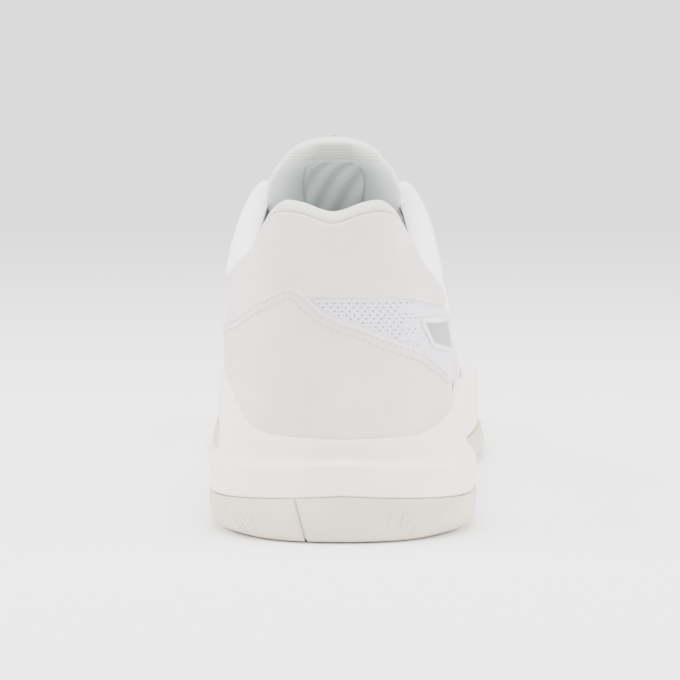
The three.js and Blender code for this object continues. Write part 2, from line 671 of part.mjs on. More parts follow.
function tonguePoint(t, across, depth) {
  const step = 0.01;
  const back = Math.max(t - step, 0);
  const front = Math.min(t + step, 1);
  const rise = new THREE.Vector2(tongueAlong(front) - tongueAlong(back),
    tongueHeight(front) - tongueHeight(back)).normalize();
  const lean = THREE.MathUtils.lerp(-2.4, -2.8, t);
  const sink = tongueArch(t) * across * across + depth;
  return new THREE.Vector3(lean + tongueHalf(t) * across,
    tongueAlong(t) - rise.y * sink, tongueHeight(t) + rise.x * sink);
}

function tongueBody(start, end, steps) {
  const columns = 8;
  const sheet = share => range(steps).map(a => {
    const t = THREE.MathUtils.lerp(start, end, a);
    return range(columns).map(b => {
      const across = 2 * b - 1;
      const edge = Math.sqrt(1 - 0.86 * across ** 4);
      const full = tongueFull(t);
      const middle = full / 2;
      return tonguePoint(t, across, middle + (share - 0.5) * full * edge);
    });
  });
  return shell(sheet(0), sheet(1));
}

// The tongue is cut across at the fold, with room below the cut for the tip to tip both ways.
const foldForward = THREE.MathUtils.degToRad(27);
const foldRearSlope = 0.35;

function tonguePieces() {
  const whole = solid(tongueBody(0, 1, 20));
  const reach = 60;
  const fold = (y, z) => [tongueFoldY + y, tongueFoldZ + z];
  const below = sideBlock([fold(-reach, -80), fold(110, -80),
    fold(reach, -reach * Math.tan(foldForward) - gap), fold(0, -gap),
    fold(-reach, -reach * foldRearSlope - gap)]);
  const above = sideBlock([fold(-reach, 0), fold(0, 0), fold(reach, 0), fold(reach, 60),
    fold(-reach, 60)]);
  add('tongue_base', geometryOf(whole.intersect(below)), 'mesh');
  add('tongue_top', geometryOf(whole.intersect(above)), 'mesh');
}

// Lace: one cord that zigzags up the eyelets in straight bars, its ends tucked inside.
const laceOver = overlayTo + laceRadius + 0.55;
const laceUnder = -shellThickness - laceRadius - 0.7;
const laceTurn = 2.8;

function laceRoute() {
  const route = [];
  const last = eyeletStations.length - 1;
  const place = (side, s, v, lift) => skin(side * s, v, lift);
  eyeletStations.forEach((s, row) => {
    const entry = row % 2 === 0 ? -1 : 1;
    const before = row === 0 ? s : THREE.MathUtils.lerp(s, eyeletStations[row - 1], 0.15);
    const after = row === last ? s : THREE.MathUtils.lerp(s, eyeletStations[row + 1], 0.15);
    if (row === 0) {
      route.push(place(entry, 0.55, 0.82, laceUnder - 2));
      route.push(place(entry, 0.532, 0.875, laceUnder - 2));
    } else route.push(place(entry, before, eyeletV, laceUnder));
    for (const side of [entry, -entry]) {
      const hole = place(side, s, eyeletV, 1);
      const holeLow = place(side, s, eyeletV, -shellThickness);
      const edge = topEdge(side * s);
      const n = skinNormal(side * s, eyeletV);
      const inward = edge.clone().sub(hole).normalize();
      const over = hole.clone().addScaledVector(n, laceOver - 1)
        .addScaledVector(inward, laceTurn);
      const rim = edge.clone().addScaledVector(n, laceOver);
      if (side === entry) {
        route.push(holeLow, hole, over, rim);
        const middle = topEdge(s);
        const crown = new THREE.Vector3(topLean(s), middle.y + 2, middle.z + 5.4);
        route.push(crown);
      } else route.push(rim, over, hole, holeLow);
    }
    if (row === last) {
      route.push(place(-entry, 0.64, 0.84, laceUnder), place(-entry, 0.615, 0.8, laceUnder));
    } else route.push(place(-entry, after, eyeletV, laceUnder));
  });
  return route;
}

function lacePieces() {
  const route = laceRoute();
  const path = new THREE.CatmullRomCurve3(route, false, 'centripetal');
  path.getUtoTmapping = u => u;
  const ring = new THREE.Shape();
  ring.absarc(0, 0, laceRadius, 0, 2 * Math.PI);
  const settings = { steps: route.length - 1, curveSegments: 4, extrudePath: path,
    bevelEnabled: false };
  add('lace', new THREE.ExtrudeGeometry(ring, settings), 'lace');
  const ends = [[route[0], route[1]], [route.at(-1), route.at(-2)]];
  ends.forEach(([tip, before], i) => {
    const along = tip.clone().sub(before).normalize();
    const aglet = new THREE.CylinderGeometry(1.3, 1.3, 12, 8);
    const turn = new THREE.Quaternion().setFromUnitVectors(new THREE.Vector3(0, 1, 0), along);
    const place = tip.clone().addScaledVector(along, 6 + gap);
    aglet.applyQuaternion(turn).translate(place.x, place.y, place.z);
    add(['aglet_start', 'aglet_end'][i], aglet, 'plate');
  });
}

outsolePieces();
midsolePieces();
bedPieces();
upperPieces();
rearOverlays();
sideOverlays();
windowPieces();
toePieces();
heelInterior();
collarRim();
tonguePieces();
lacePieces();

export default shoe;
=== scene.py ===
import math
import bmesh
import bpy
import numpy as np
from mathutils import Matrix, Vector


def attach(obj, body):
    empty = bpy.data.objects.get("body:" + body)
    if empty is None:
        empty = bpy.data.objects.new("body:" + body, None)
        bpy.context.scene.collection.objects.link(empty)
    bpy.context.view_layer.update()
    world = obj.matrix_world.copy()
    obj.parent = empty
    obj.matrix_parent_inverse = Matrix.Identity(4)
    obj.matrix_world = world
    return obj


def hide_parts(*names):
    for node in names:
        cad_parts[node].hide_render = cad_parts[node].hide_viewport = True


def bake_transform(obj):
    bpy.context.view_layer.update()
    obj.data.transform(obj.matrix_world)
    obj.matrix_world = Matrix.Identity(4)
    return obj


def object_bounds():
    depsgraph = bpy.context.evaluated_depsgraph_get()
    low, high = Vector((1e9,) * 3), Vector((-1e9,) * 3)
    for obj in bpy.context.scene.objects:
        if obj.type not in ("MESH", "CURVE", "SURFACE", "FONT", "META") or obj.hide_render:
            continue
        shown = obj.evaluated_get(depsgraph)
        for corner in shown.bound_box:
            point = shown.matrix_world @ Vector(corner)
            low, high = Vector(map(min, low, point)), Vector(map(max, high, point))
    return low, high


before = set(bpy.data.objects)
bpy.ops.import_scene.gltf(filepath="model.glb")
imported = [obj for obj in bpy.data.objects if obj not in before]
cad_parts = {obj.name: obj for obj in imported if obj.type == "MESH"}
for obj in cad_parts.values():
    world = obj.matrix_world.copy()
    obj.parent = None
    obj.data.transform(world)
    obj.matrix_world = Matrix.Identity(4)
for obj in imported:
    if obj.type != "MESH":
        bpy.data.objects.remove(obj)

print("court shoe: frame loaded")
cadLow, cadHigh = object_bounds()

# measures of the shoe in millimetres; points are counted from the back of the heel and
# toFrame puts them in the frame
shoe = {
    "length": (cadHigh.y - cadLow.y) * 1000,
    "heelX": -2.6,
    "throat": 0.69,
    "ridgeFall": 0.22,
    "shell": 1.6,
}
mm = 0.001
heelPlace = np.array([shoe["heelX"], cadLow.y * 1000, 0.0])


def toFrame(points):
    return (np.asarray(points, float) + heelPlace) * mm


def through(keys):
    # a smooth line through given keys
    at = np.array([k[0] for k in keys], float)
    value = np.array([k[1] for k in keys], float)
    last = len(keys) - 1
    before = np.maximum(np.arange(last + 1) - 1, 0)
    after = np.minimum(np.arange(last + 1) + 1, last)
    slope = (value[after] - value[before]) / (at[after] - at[before])

    def line(t):
        t = np.asarray(t, float)
        i = np.clip(np.searchsorted(at, t, side="left") - 1, 0, last - 1)
        span = at[i + 1] - at[i]
        f = np.clip((t - at[i]) / span, 0, 1)
        bend = (f ** 3 - 2 * f ** 2 + f) * slope[i] + (f ** 3 - f ** 2) * slope[i + 1]
        flat = (2 * f ** 3 - 3 * f ** 2 + 1) * value[i] + (3 * f ** 2 - 2 * f ** 3) * value[i + 1]
        return flat + span * bend

    return line


def smoothStep(x, low, high):
    t = np.clip((np.asarray(x, float) - low) / (high - low), 0, 1)
    return t * t * (3 - 2 * t)


# outline of the sole: half widths from the heel (0) to the toe tip (1)
lateralWidth = through([(0, 0), (0.1, 25.5), (0.166, 36.5), (0.222, 40.3), (0.295, 41),
                        (0.37, 40.5), (0.436, 41.5), (0.5, 46), (0.564, 52.5), (0.61, 55.2),
                        (0.655, 55.2), (0.718, 50.5), (0.778, 43.5), (0.834, 34),
                        (0.896, 20.5), (0.95, 6), (1, -7)])
medialWidth = through([(0, 0), (0.1, 25.5), (0.166, 36.3), (0.222, 39.8), (0.295, 39.6),
                       (0.37, 36), (0.436, 34.2), (0.5, 38), (0.564, 46), (0.61, 49.8),
                       (0.655, 50.4), (0.718, 49.4), (0.778, 46), (0.834, 40), (0.896, 30),
                       (0.95, 18.8), (1, 7)])
wallTopLateral = through([(0, 30.7), (0.1, 31.7), (0.13, 33.8), (0.166, 37), (0.22, 41.5),
                          (0.27, 43.5), (0.32, 42.2), (0.37, 38.4), (0.436, 33.8), (0.5, 31.6),
                          (0.6, 32.4), (0.7, 31.6), (0.8, 32), (0.9, 33), (1, 34)])
wallTopMedial = through([(0, 30.7), (0.1, 32.2), (0.13, 35.5), (0.166, 43), (0.22, 47.5),
                         (0.27, 48), (0.32, 45.4), (0.37, 40.4), (0.436, 35), (0.5, 32),
                         (0.6, 31.4), (0.7, 31.4), (0.8, 32), (0.9, 33), (1, 34)])
sweepUp = through([(0, 0), (0.16, 0), (0.66, 0), (0.76, 1.6), (0.88, 6),
                   (1, 12.5)])
outsoleTop = through([(0, 14), (0.16, 11.6), (0.3, 10.6), (0.45, 9.5), (0.6, 11), (0.76, 12.4),
                      (0.88, 16.5), (1, 22)])
bedHeight = through([(0, 23), (0.2, 22), (0.4, 19.5), (0.6, 15.5), (0.76, 15), (0.88, 17.5),
                     (1, 21.5)])
heelFlare = through([(0, 0), (0.1, 0.5), (0.2, 1.5), (0.32, 1.6), (0.45, 0.4), (0.52, 0),
                     (1, 0)])
wallInset = through([(0, 0.2), (0.3, 0.5), (0.45, 1.6), (0.6, 2.6), (0.8, 2.2), (1, 2)])

# top edge of the upper and the cross-sections below it
topAcross = through([(0, 0), (0.1, 15.3), (0.135, 19.2), (0.166, 21.4), (0.222, 25.5),
                     (0.295, 31), (0.35, 34), (0.4, 35), (0.45, 33.2), (0.49, 29.8), (0.52, 25.4),
                     (0.56, 19), (0.6, 15.8), (0.64, 14.5), (0.67, 11.2), (shoe["throat"], 0)])
topAlong = through([(0, 9.9), (0.1, 10.8), (0.166, 17), (0.222, 30), (0.295, 52), (0.35, 72),
                    (0.4, 90), (0.45, 105), (0.49, 115), (0.52, 120.5), (0.56, 139), (0.6, 158),
                    (0.64, 177), (0.67, 189), (shoe["throat"], 195.5), (0.76, 214),
                    (0.86, 238), (1, 258)])
topHeight = through([(-0.06, 97.6), (0, 94.8), (0.06, 97.6), (0.1, 98.2), (0.135, 96.4),
                     (0.166, 92.6), (0.222, 84.6), (0.295, 76), (0.35, 72.4), (0.4, 75),
                     (0.45, 85.6), (0.49, 96.4), (0.52, 101.8), (0.56, 91.8), (0.6, 81.6),
                     (0.64, 72.2), (0.67, 67), (shoe["throat"], 64.6), (0.76, 59), (0.86, 53),
                     (1, 48.6)])
topLean = through([(0, -2.7), (0.5, -2.4), (0.7, -2.6), (0.86, -5), (1, -7)])
medialLift = through([(0.2, 0), (0.35, 4), (0.5, 0.5), (0.56, 0)])
footInset = through([(0, 9), (0.2, 8), (0.45, 8), (0.6, 9.5), (1, 9)])
bulgeInset = through([(0, -0.4), (0.1, 1.2), (0.2, 2.2), (0.3, 2.6), (0.45, 2.8), (0.6, 4),
                      (0.8, 3.6), (1, 3)])
bulgeRise = through([(0, 25), (0.2, 22), (0.45, 24), (0.6, 19), (0.8, 15), (1, 14)])
shoulderOut = through([(0, -1.5), (0.1, 0.5), (0.2, 3.5), (0.3, 7), (0.35, 8), (0.42, 7.5),
                       (0.48, 10), (0.52, 13), (0.56, 16), (0.62, 21), (0.7, 32), (0.8, 42),
                       (0.9, 42), (1, 34)])
shoulderDrop = through([(0, 22), (0.1, 22), (0.2, 16), (0.3, 13), (0.36, 11), (0.42, 14),
                        (0.48, 14), (0.52, 9), (0.56, 7), (0.62, 5.5), (0.66, 4.6)])


def outline(u):
    s = np.abs(u)
    y = shoe["length"] * (1 - np.cos(math.pi * s)) / 2
    return np.where(u < 0, -medialWidth(s), lateralWidth(s)), y


def outward(u):
    step = 0.004
    s = np.abs(u)
    side = np.where(u < 0, -1.0, 1.0)
    nearX, nearY = outline(side * np.maximum(s - step, 0))
    farX, farY = outline(side * np.minimum(s + step, 1))
    alongX = farX - nearX
    alongY = farY - nearY
    size = np.hypot(alongX, alongY)
    alongX, alongY = alongX / size, alongY / size
    alongX = np.where(s < step, side, np.where(s > 1 - step, -side, alongX))
    alongY = np.where((s < step) | (s > 1 - step), 0, alongY)
    return side * alongY, -side * alongX


def wallTop(u):
    return np.where(u < 0, wallTopMedial(np.abs(u)), wallTopLateral(np.abs(u)))


def bottomRise(s):
    return np.maximum(sweepUp(s), 0)


def atOffset(u, offset, z):
    x, y = outline(u)
    nx, ny = outward(u)
    return np.stack([x + nx * offset, y + ny * offset, z + 0 * x], -1)


def topEdge(u):
    s = np.abs(u)
    side = np.where(u < 0, -1.0, 1.0)
    lift = np.where(u < 0, medialLift(s), 0)
    across = np.where(s < shoe["throat"], topAcross(s), 0)
    return np.stack([topLean(s) + side * across, topAlong(s), topHeight(s) + lift], -1)


def skinPoint(u, v):
    u, v = np.broadcast_arrays(np.asarray(u, float), np.asarray(v, float))
    s = np.abs(u)
    top = topEdge(u)
    bed = bedHeight(s)
    foot = atOffset(u, -footInset(s), bed)
    bulge = atOffset(u, -bulgeInset(s), bed + bulgeRise(s))
    x, y = outline(u)
    away = np.stack([x - top[..., 0], y - top[..., 1]], -1)
    away = away / np.linalg.norm(away, axis=-1, keepdims=True)
    out = shoulderOut(s)
    ridgeDrop = shoe["ridgeFall"] * away[..., 1] * out
    share = smoothStep(s, 0.62, shoe["throat"])
    drop = shoulderDrop(np.minimum(s, 0.66)) * (1 - share) + ridgeDrop * share
    shoulder = np.stack([top[..., 0] + away[..., 0] * out, top[..., 1] + away[..., 1] * out,
                         top[..., 2] - drop], -1)
    w = v[..., None]
    return ((1 - w) ** 3 * foot + 3 * (1 - w) ** 2 * w * bulge
            + 3 * (1 - w) * w ** 2 * shoulder + w ** 3 * top)


def unitVector(a):
    return a / np.maximum(np.linalg.norm(a, axis=-1, keepdims=True), 1e-9)


def rawNormal(u, v):
    step = 0.003
    side = np.where(u < 0, -1.0, 1.0)
    s = np.abs(u)
    rise = skinPoint(u, np.minimum(v + step, 1)) - skinPoint(u, np.maximum(v - step, 0))
    along = skinPoint(side * np.minimum(s + step, 1), v) - skinPoint(side * (s - step), v)
    return unitVector(np.cross(along, rise) * side[..., None])


def skinNormal(u, v):
    u, v = np.broadcast_arrays(np.asarray(u, float), np.asarray(v, float))
    n = rawNormal(u, v)
    tip = (np.abs(u) > 0.9999)[..., None]
    n = np.where(tip, n + rawNormal(-u, v), n)
    ridge = ((v > 0.999) & (np.abs(u) > shoe["throat"] - 0.0001))[..., None]
    upward = np.array([0, shoe["ridgeFall"], 1.0])
    n = np.where(ridge, upward, n)
    n = np.where((np.abs(u) < 0.0001)[..., None], n * np.array([0, 1, 1]), n)
    return unitVector(n)


def skin(u, v, offset=0):
    offset = np.asarray(offset, float)
    return skinPoint(u, v) + skinNormal(u, v) * offset[..., None]


def heightToV(u, z):
    u, z = np.broadcast_arrays(np.asarray(u, float), np.asarray(z, float))
    low = np.zeros(u.shape)
    high = np.ones(u.shape)
    for _ in range(22):
        middle = (low + high) / 2
        under = skinPoint(u, middle)[..., 2] < z
        low = np.where(under, middle, low)
        high = np.where(under, high, middle)
    return (low + high) / 2


# mesh helpers
def makeObject(name, points, faces, material, uv=None, painted_shade=None, others=(), faceSlots=None):
    # the per-point painted shade darkens a cloth finish towards its deep shade colour; others are
    # further materials
    mesh = bpy.data.meshes.new(name)
    mesh.from_pydata([tuple(p) for p in toFrame(points)], [], faces)
    if faceSlots is not None:
        mesh.polygons.foreach_set("material_index", np.asarray(faceSlots, np.int32))
    shade = np.zeros(len(points)) if painted_shade is None else np.asarray(painted_shade, float)
    layer = mesh.attributes.new("painted_shade", "FLOAT", "POINT")
    layer.data.foreach_set("value", shade.astype(np.float32))
    if uv is not None:
        layer = mesh.uv_layers.new(name="clothUv")
        corner = np.zeros(len(mesh.loops), np.int32)
        mesh.loops.foreach_get("vertex_index", corner)
        layer.data.foreach_set("uv", np.asarray(uv, np.float32)[corner].ravel())
    weldMesh(mesh)
    for finish in (material, *others):
        mesh.materials.append(finish)
    mesh.polygons.foreach_set("use_smooth", [True] * len(mesh.polygons))
    obj = bpy.data.objects.new(name, mesh)
    bpy.context.scene.collection.objects.link(obj)
    return obj


def weldMesh(mesh):
    work = bmesh.new()
    work.from_mesh(mesh)
    bmesh.ops.remove_doubles(work, verts=work.verts, dist=0.000004)
    bmesh.ops.dissolve_degenerate(work, dist=0.000001, edges=work.edges)
    if work.calc_volume(signed=True) < 0:
        bmesh.ops.reverse_faces(work, faces=work.faces)
    work.to_mesh(mesh)
    work.free()
    mesh.update()


def arcLengths(grid):
    across = np.cumsum(np.linalg.norm(np.diff(grid[:, grid.shape[1] // 2], axis=0), axis=-1))
    across = np.concatenate([[0], across])
    up = np.cumsum(np.linalg.norm(np.diff(grid, axis=1), axis=-1), axis=1)
    up = np.concatenate([np.zeros((grid.shape[0], 1)), up], 1)
    return np.stack([np.broadcast_to(across[:, None], up.shape), up], -1)


def shellObject(name, outer, inner, material, sewn=None, holes=(), painted_shade=None):
    # a closed wall between two sheets; sewn(i) says where the top borders meet
    rows, columns = outer.shape[:2]
    count = rows * columns
    points = np.concatenate([outer.reshape(-1, 3), inner.reshape(-1, 3)])
    uv = np.concatenate([arcLengths(outer).reshape(-1, 2)] * 2)
    keep = np.ones((rows - 1, columns - 1), bool)
    middle = (outer[:-1, :-1] + outer[1:, 1:]) / 2
    for centre, radius in holes:
        keep &= np.linalg.norm(middle - centre, axis=-1) > radius
    faces = []
    for i in range(rows - 1):
        for j in range(columns - 1):
            a = i * columns + j
            b = a + columns
            if keep[i, j]:
                faces.append((a, b, b + 1, a + 1))
                faces.append((count + a + 1, count + b + 1, count + b, count + a))
                continue
            near = [(i, j - 1, (a, b)), (i, j + 1, (b + 1, a + 1)), (i - 1, j, (a + 1, a)),
                    (i + 1, j, (b, b + 1))]
            for ni, nj, (p, q) in near:
                if 0 <= ni < rows - 1 and 0 <= nj < columns - 1 and keep[ni, nj]:
                    faces.append((p, q, count + q, count + p))
    for i in range(rows - 1):
        a, b = i * columns, (i + 1) * columns
        faces.append((count + a, count + b, b, a))
        if sewn is None or not sewn(i):
            a, b = a + columns - 1, b + columns - 1
            faces.append((a, b, count + b, count + a))
    if sewn is None:
        end = (rows - 1) * columns
        for j in range(columns - 1):
            faces.append((j, j + 1, count + j + 1, count + j))
            faces.append((count + end + j, count + end + j + 1, end + j + 1, end + j))
    if painted_shade is not None:
        painted_shade = np.concatenate([painted_shade.ravel()] * 2)
    return makeObject(name, points, faces, material, uv, painted_shade)


def loftObject(name, loops, material, capped=True, uv=None, painted_shade=None, others=(), slotOf=None):
    # closed loops joined in a row; capped ends are closed with a fan, the others meet by themselves
    loops = np.asarray(loops, float)
    rows, size = loops.shape[:2]
    points = loops.reshape(-1, 3)
    faces = []
    for i in range(rows - 1):
        for j in range(size):
            k = (j + 1) % size
            faces.append((i * size + j, (i + 1) * size + j, (i + 1) * size + k, i * size + k))
    if capped:
        points = np.concatenate([points, loops[0].mean(0)[None], loops[-1].mean(0)[None]])
        first, last = rows * size, rows * size + 1
        for j in range(size):
            k = (j + 1) % size
            faces.append((first, j, k))
            faces.append((last, (rows - 1) * size + k, (rows - 1) * size + j))
    if uv is None:
        uv = arcLengths(loops).reshape(-1, 2)
    uv = np.concatenate([uv, np.zeros((2, 2))])[:len(points)]
    if painted_shade is not None:
        painted_shade = np.concatenate([painted_shade.ravel(), np.zeros(2)])[:len(points)]
    faceSlots = None
    if slotOf is not None:
        faceSlots = [slotOf(i, j) for i in range(rows - 1) for j in range(size)]
        faceSlots += [0] * (len(faces) - len(faceSlots))
    return makeObject(name, points, faces, material, uv, painted_shade, others, faceSlots)


edgeShare = 0.35  # how much of a panel's height stands at its very border


def quarterRound(share):
    # rises from 0 to 1 along a quarter of a circle
    return np.sqrt(np.clip(1 - (1 - np.clip(share, 0, 1)) ** 2, 0, 1))


def patchSheets(look, across, up):
    # the skin between two edges, raised to look["to"] with softly rounded borders
    a = np.linspace(0, 1, across + 1)
    b = np.linspace(0, 1, up + 1)
    u = look["uStart"] + (look["uEnd"] - look["uStart"]) * a
    if "around" in look:
        u = look["around"](u)
    low, high = look["low"](u), look["high"](u)
    grid = np.broadcast_to(u[:, None], (across + 1, up + 1))
    crowd = (1 - np.cos(math.pi * b)) / 2
    v = low[:, None] + (high - low)[:, None] * (0.5 * crowd + 0.5 * b)[None]
    flat = skin(grid, v, np.zeros(v.shape))
    size = arcLengths(flat)
    toEdge = np.minimum(size[..., 1], size[:, -1:, 1] - size[..., 1])
    toEdge = np.minimum(toEdge, np.minimum(size[..., 0], size[-1:, :, 0] - size[..., 0]))
    roll = quarterRound(toEdge / look["soft"])
    lift = look["from"] + (look["to"] - look["from"]) * (edgeShare + (1 - edgeShare) * roll)
    if "relief" in look:
        lift = lift + look["relief"](flat) * roll
    return skin(grid, v, lift), skin(grid, v, np.full(v.shape, look["from"]))


def ripple(points, scale, depth, seed=0):
    # low, soft unevenness from a few crossing waves
    rng = np.random.default_rng(seed)
    total = np.zeros(points.shape[:-1])
    for _ in range(6):
        wave = rng.normal(size=3)
        wave = wave / np.linalg.norm(wave) * (2 * math.pi / scale) * rng.uniform(0.6, 1.5)
        total += np.sin(points @ wave + rng.uniform(0, 6.28))
    return total * depth / 6


# finishes
def linear(*rgb):
    return [((c / 255 + 0.055) / 1.055) ** 2.4 if c > 10 else c / 3294.6 for c in rgb] + [1]


finishes = {
    "panel": {"color": linear(232, 216, 215), "shade": linear(226, 208, 207), "mottle": 60,
              "rough": 0.5, "grain": 2600, "grainDepth": 0.05, "coarse": 140,
              "coarseDepth": 0.12, "sheen": 0.0},
    # the stitches are coloured darker than their white thread: painted shade of the needle holes
    # and the small shadows along the stitching
    "stitch": {"color": linear(204, 197, 198), "shade": linear(186, 178, 180), "mottle": 900,
               "rough": 0.65, "grain": 5200, "grainDepth": 0.05, "coarse": 500,
               "coarseDepth": 0.02, "sheen": 0.2},
    "foam": {"color": linear(252, 238, 233), "shade": linear(249, 232, 227), "mottle": 45,
             "rough": 0.55, "grain": 1500, "grainDepth": 0.04, "coarse": 260,
             "coarseDepth": 0.05, "sheen": 0.0},
    "rubber": {"color": linear(222, 210, 193), "shade": linear(208, 195, 178), "mottle": 70,
               "rough": 0.6, "grain": 1900, "grainDepth": 0.05, "coarse": 240,
               "coarseDepth": 0.05, "sheen": 0.0},
    "plate": {"color": linear(206, 207, 212), "shade": linear(196, 197, 203), "mottle": 80,
              "rough": 0.32, "grain": 1200, "grainDepth": 0.02, "coarse": 200,
              "coarseDepth": 0.03, "sheen": 0.0},
    "board": {"color": linear(224, 219, 204), "shade": linear(212, 205, 190), "mottle": 160,
              "rough": 0.85, "grain": 2200, "grainDepth": 0.12, "coarse": 400,
              "coarseDepth": 0.06, "sheen": 0.1},
    "padSkin": {"color": linear(249, 249, 248), "shade": linear(243, 244, 243), "mottle": 50,
                "rough": 0.62, "grain": 3000, "grainDepth": 0.04, "coarse": 120,
                "coarseDepth": 0.25, "sheen": 0.25},
    "frameFilm": {"color": linear(240, 238, 239), "shade": linear(232, 230, 232), "mottle": 90,
                  "rough": 0.38, "grain": 2600, "grainDepth": 0.02, "coarse": 300,
                  "coarseDepth": 0.02, "sheen": 0.0},
}


def newMaterial(name):
    material = bpy.data.materials.new(name)
    material.use_nodes = True
    nodes, links = material.node_tree.nodes, material.node_tree.links
    return material, nodes, links, nodes["Principled BSDF"]


def addNode(nodes, kind, **values):
    node = nodes.new(kind)
    for key, value in values.items():
        if hasattr(node, key):
            setattr(node, key, value)
        else:
            node.inputs[key].default_value = value
    return node


def clothPlace(nodes, links):
    # the cloth's own lengths across and along, in millimetres
    uv = addNode(nodes, "ShaderNodeUVMap", uv_map="clothUv")
    split = addNode(nodes, "ShaderNodeSeparateXYZ")
    links.new(uv.outputs["UV"], split.inputs[0])
    return split.outputs["X"], split.outputs["Y"]


def noiseOf(nodes, links, scale, detail=2.0):
    place = addNode(nodes, "ShaderNodeTexCoord")
    noise = addNode(nodes, "ShaderNodeTexNoise", Scale=scale, Detail=detail)
    links.new(place.outputs["Object"], noise.inputs["Vector"])
    return noise.outputs["Fac"]


def mapRange(nodes, links, source, **limits):
    node = addNode(nodes, "ShaderNodeMapRange", **limits)
    links.new(source, node.inputs["Value"])
    return node.outputs["Result"]


def mixColours(nodes, links, share, first, second):
    mix = addNode(nodes, "ShaderNodeMix", data_type="RGBA")
    links.new(share, mix.inputs["Factor"])
    mix.inputs[6].default_value = first
    mix.inputs[7].default_value = second
    return mix.outputs[2]


def bumpOf(nodes, links, height, depth, under=None):
    # depth in millimetres; under is the normal of a coarser bump below this one
    bump = addNode(nodes, "ShaderNodeBump")
    bump.inputs["Strength"].default_value = 1
    bump.inputs["Distance"].default_value = depth * mm
    links.new(height, bump.inputs["Height"])
    if under is not None:
        links.new(under, bump.inputs["Normal"])
    return bump.outputs["Normal"]


def plainFinish(name, look):
    # a smooth skin or moulding: faint mottling, soft waves and a fine grain
    material, nodes, links, shader = newMaterial(name)
    mottle = noiseOf(nodes, links, look["mottle"], 4.0)
    share = mapRange(nodes, links, mottle, **{"From Min": 0.35, "From Max": 0.65})
    colour = mixColours(nodes, links, share, look["color"], look["shade"])
    links.new(colour, shader.inputs["Base Color"])
    rough = mapRange(nodes, links, mottle, **{"To Min": look["rough"] - 0.06,
                                              "To Max": look["rough"] + 0.08})
    links.new(rough, shader.inputs["Roughness"])
    place = addNode(nodes, "ShaderNodeTexCoord")
    grain = addNode(nodes, "ShaderNodeTexVoronoi", Scale=look["grain"])
    links.new(place.outputs["Object"], grain.inputs["Vector"])
    waves = bumpOf(nodes, links, noiseOf(nodes, links, look["coarse"], 3.0), look["coarseDepth"])
    fine = bumpOf(nodes, links, grain.outputs["Distance"], look["grainDepth"], waves)
    links.new(fine, shader.inputs["Normal"])
    shader.inputs["Sheen Weight"].default_value = look["sheen"]
    return material


def waveOf(nodes, links, source, pitch, phase=0.0):
    # 0 to 1 wave with the given pitch, from a length in millimetres
    scaled = addNode(nodes, "ShaderNodeMath", operation="MULTIPLY_ADD")
    scaled.inputs[1].default_value = 2 * math.pi / pitch
    scaled.inputs[2].default_value = phase
    links.new(source, scaled.inputs[0])
    wave = addNode(nodes, "ShaderNodeMath", operation="SINE")
    links.new(scaled.outputs[0], wave.inputs[0])
    half = addNode(nodes, "ShaderNodeMath", operation="MULTIPLY_ADD")
    half.inputs[1].default_value = 0.5
    half.inputs[2].default_value = 0.5
    links.new(wave.outputs[0], half.inputs[0])
    return half.outputs[0]


def multiply(nodes, links, a, b):
    node = addNode(nodes, "ShaderNodeMath", operation="MULTIPLY")
    links.new(a, node.inputs[0])
    links.new(b, node.inputs[1])
    return node.outputs[0]


# each look's deep colour is painted shade, mixed in where a mesh carries a painted shade amount
clothLooks = {
    "upperMesh": {"thread": linear(242, 239, 250), "hollow": linear(220, 217, 230),
                  "painted_deep_shade": linear(214, 213, 228), "pitch": (1.3, 1.5), "depth": 0.22,
                  "rough": 0.8, "sheen": 0.25},
    "collarKnit": {"thread": linear(242, 240, 235), "hollow": linear(206, 203, 196),
                   "painted_deep_shade": linear(178, 176, 172), "pitch": (0.9, 0.75), "depth": 0.13,
                   "rough": 0.85, "sheen": 0.35},
    # the lining and sockliner knits are coloured darker than the outer knits: painted shade inside
    # the shoe on top of their own aqua and grey tints
    "liningKnit": {"thread": linear(226, 230, 227), "hollow": linear(206, 211, 207),
                   "painted_deep_shade": linear(190, 198, 196), "pitch": (0.8, 0.7), "depth": 0.08,
                   "rough": 0.9, "sheen": 0.3},
    "tongueMesh": {"thread": linear(238, 237, 234), "hollow": linear(204, 203, 198),
                   "painted_deep_shade": linear(172, 175, 171), "pitch": (0.95, 1.15), "depth": 0.13,
                   "rough": 0.88, "sheen": 0.3},
    "sockKnit": {"thread": linear(203, 205, 204), "hollow": linear(176, 178, 178),
                 "painted_deep_shade": linear(200, 200, 200), "pitch": (1.0, 1.0), "depth": 0.12,
                 "rough": 0.9, "sheen": 0.2},
    "laceWeave": {"thread": linear(242, 240, 239), "hollow": linear(214, 211, 210),
                  "painted_deep_shade": linear(200, 200, 200), "pitch": (1.1, 1.1), "depth": 0.16,
                  "rough": 0.8, "sheen": 0.25},
}


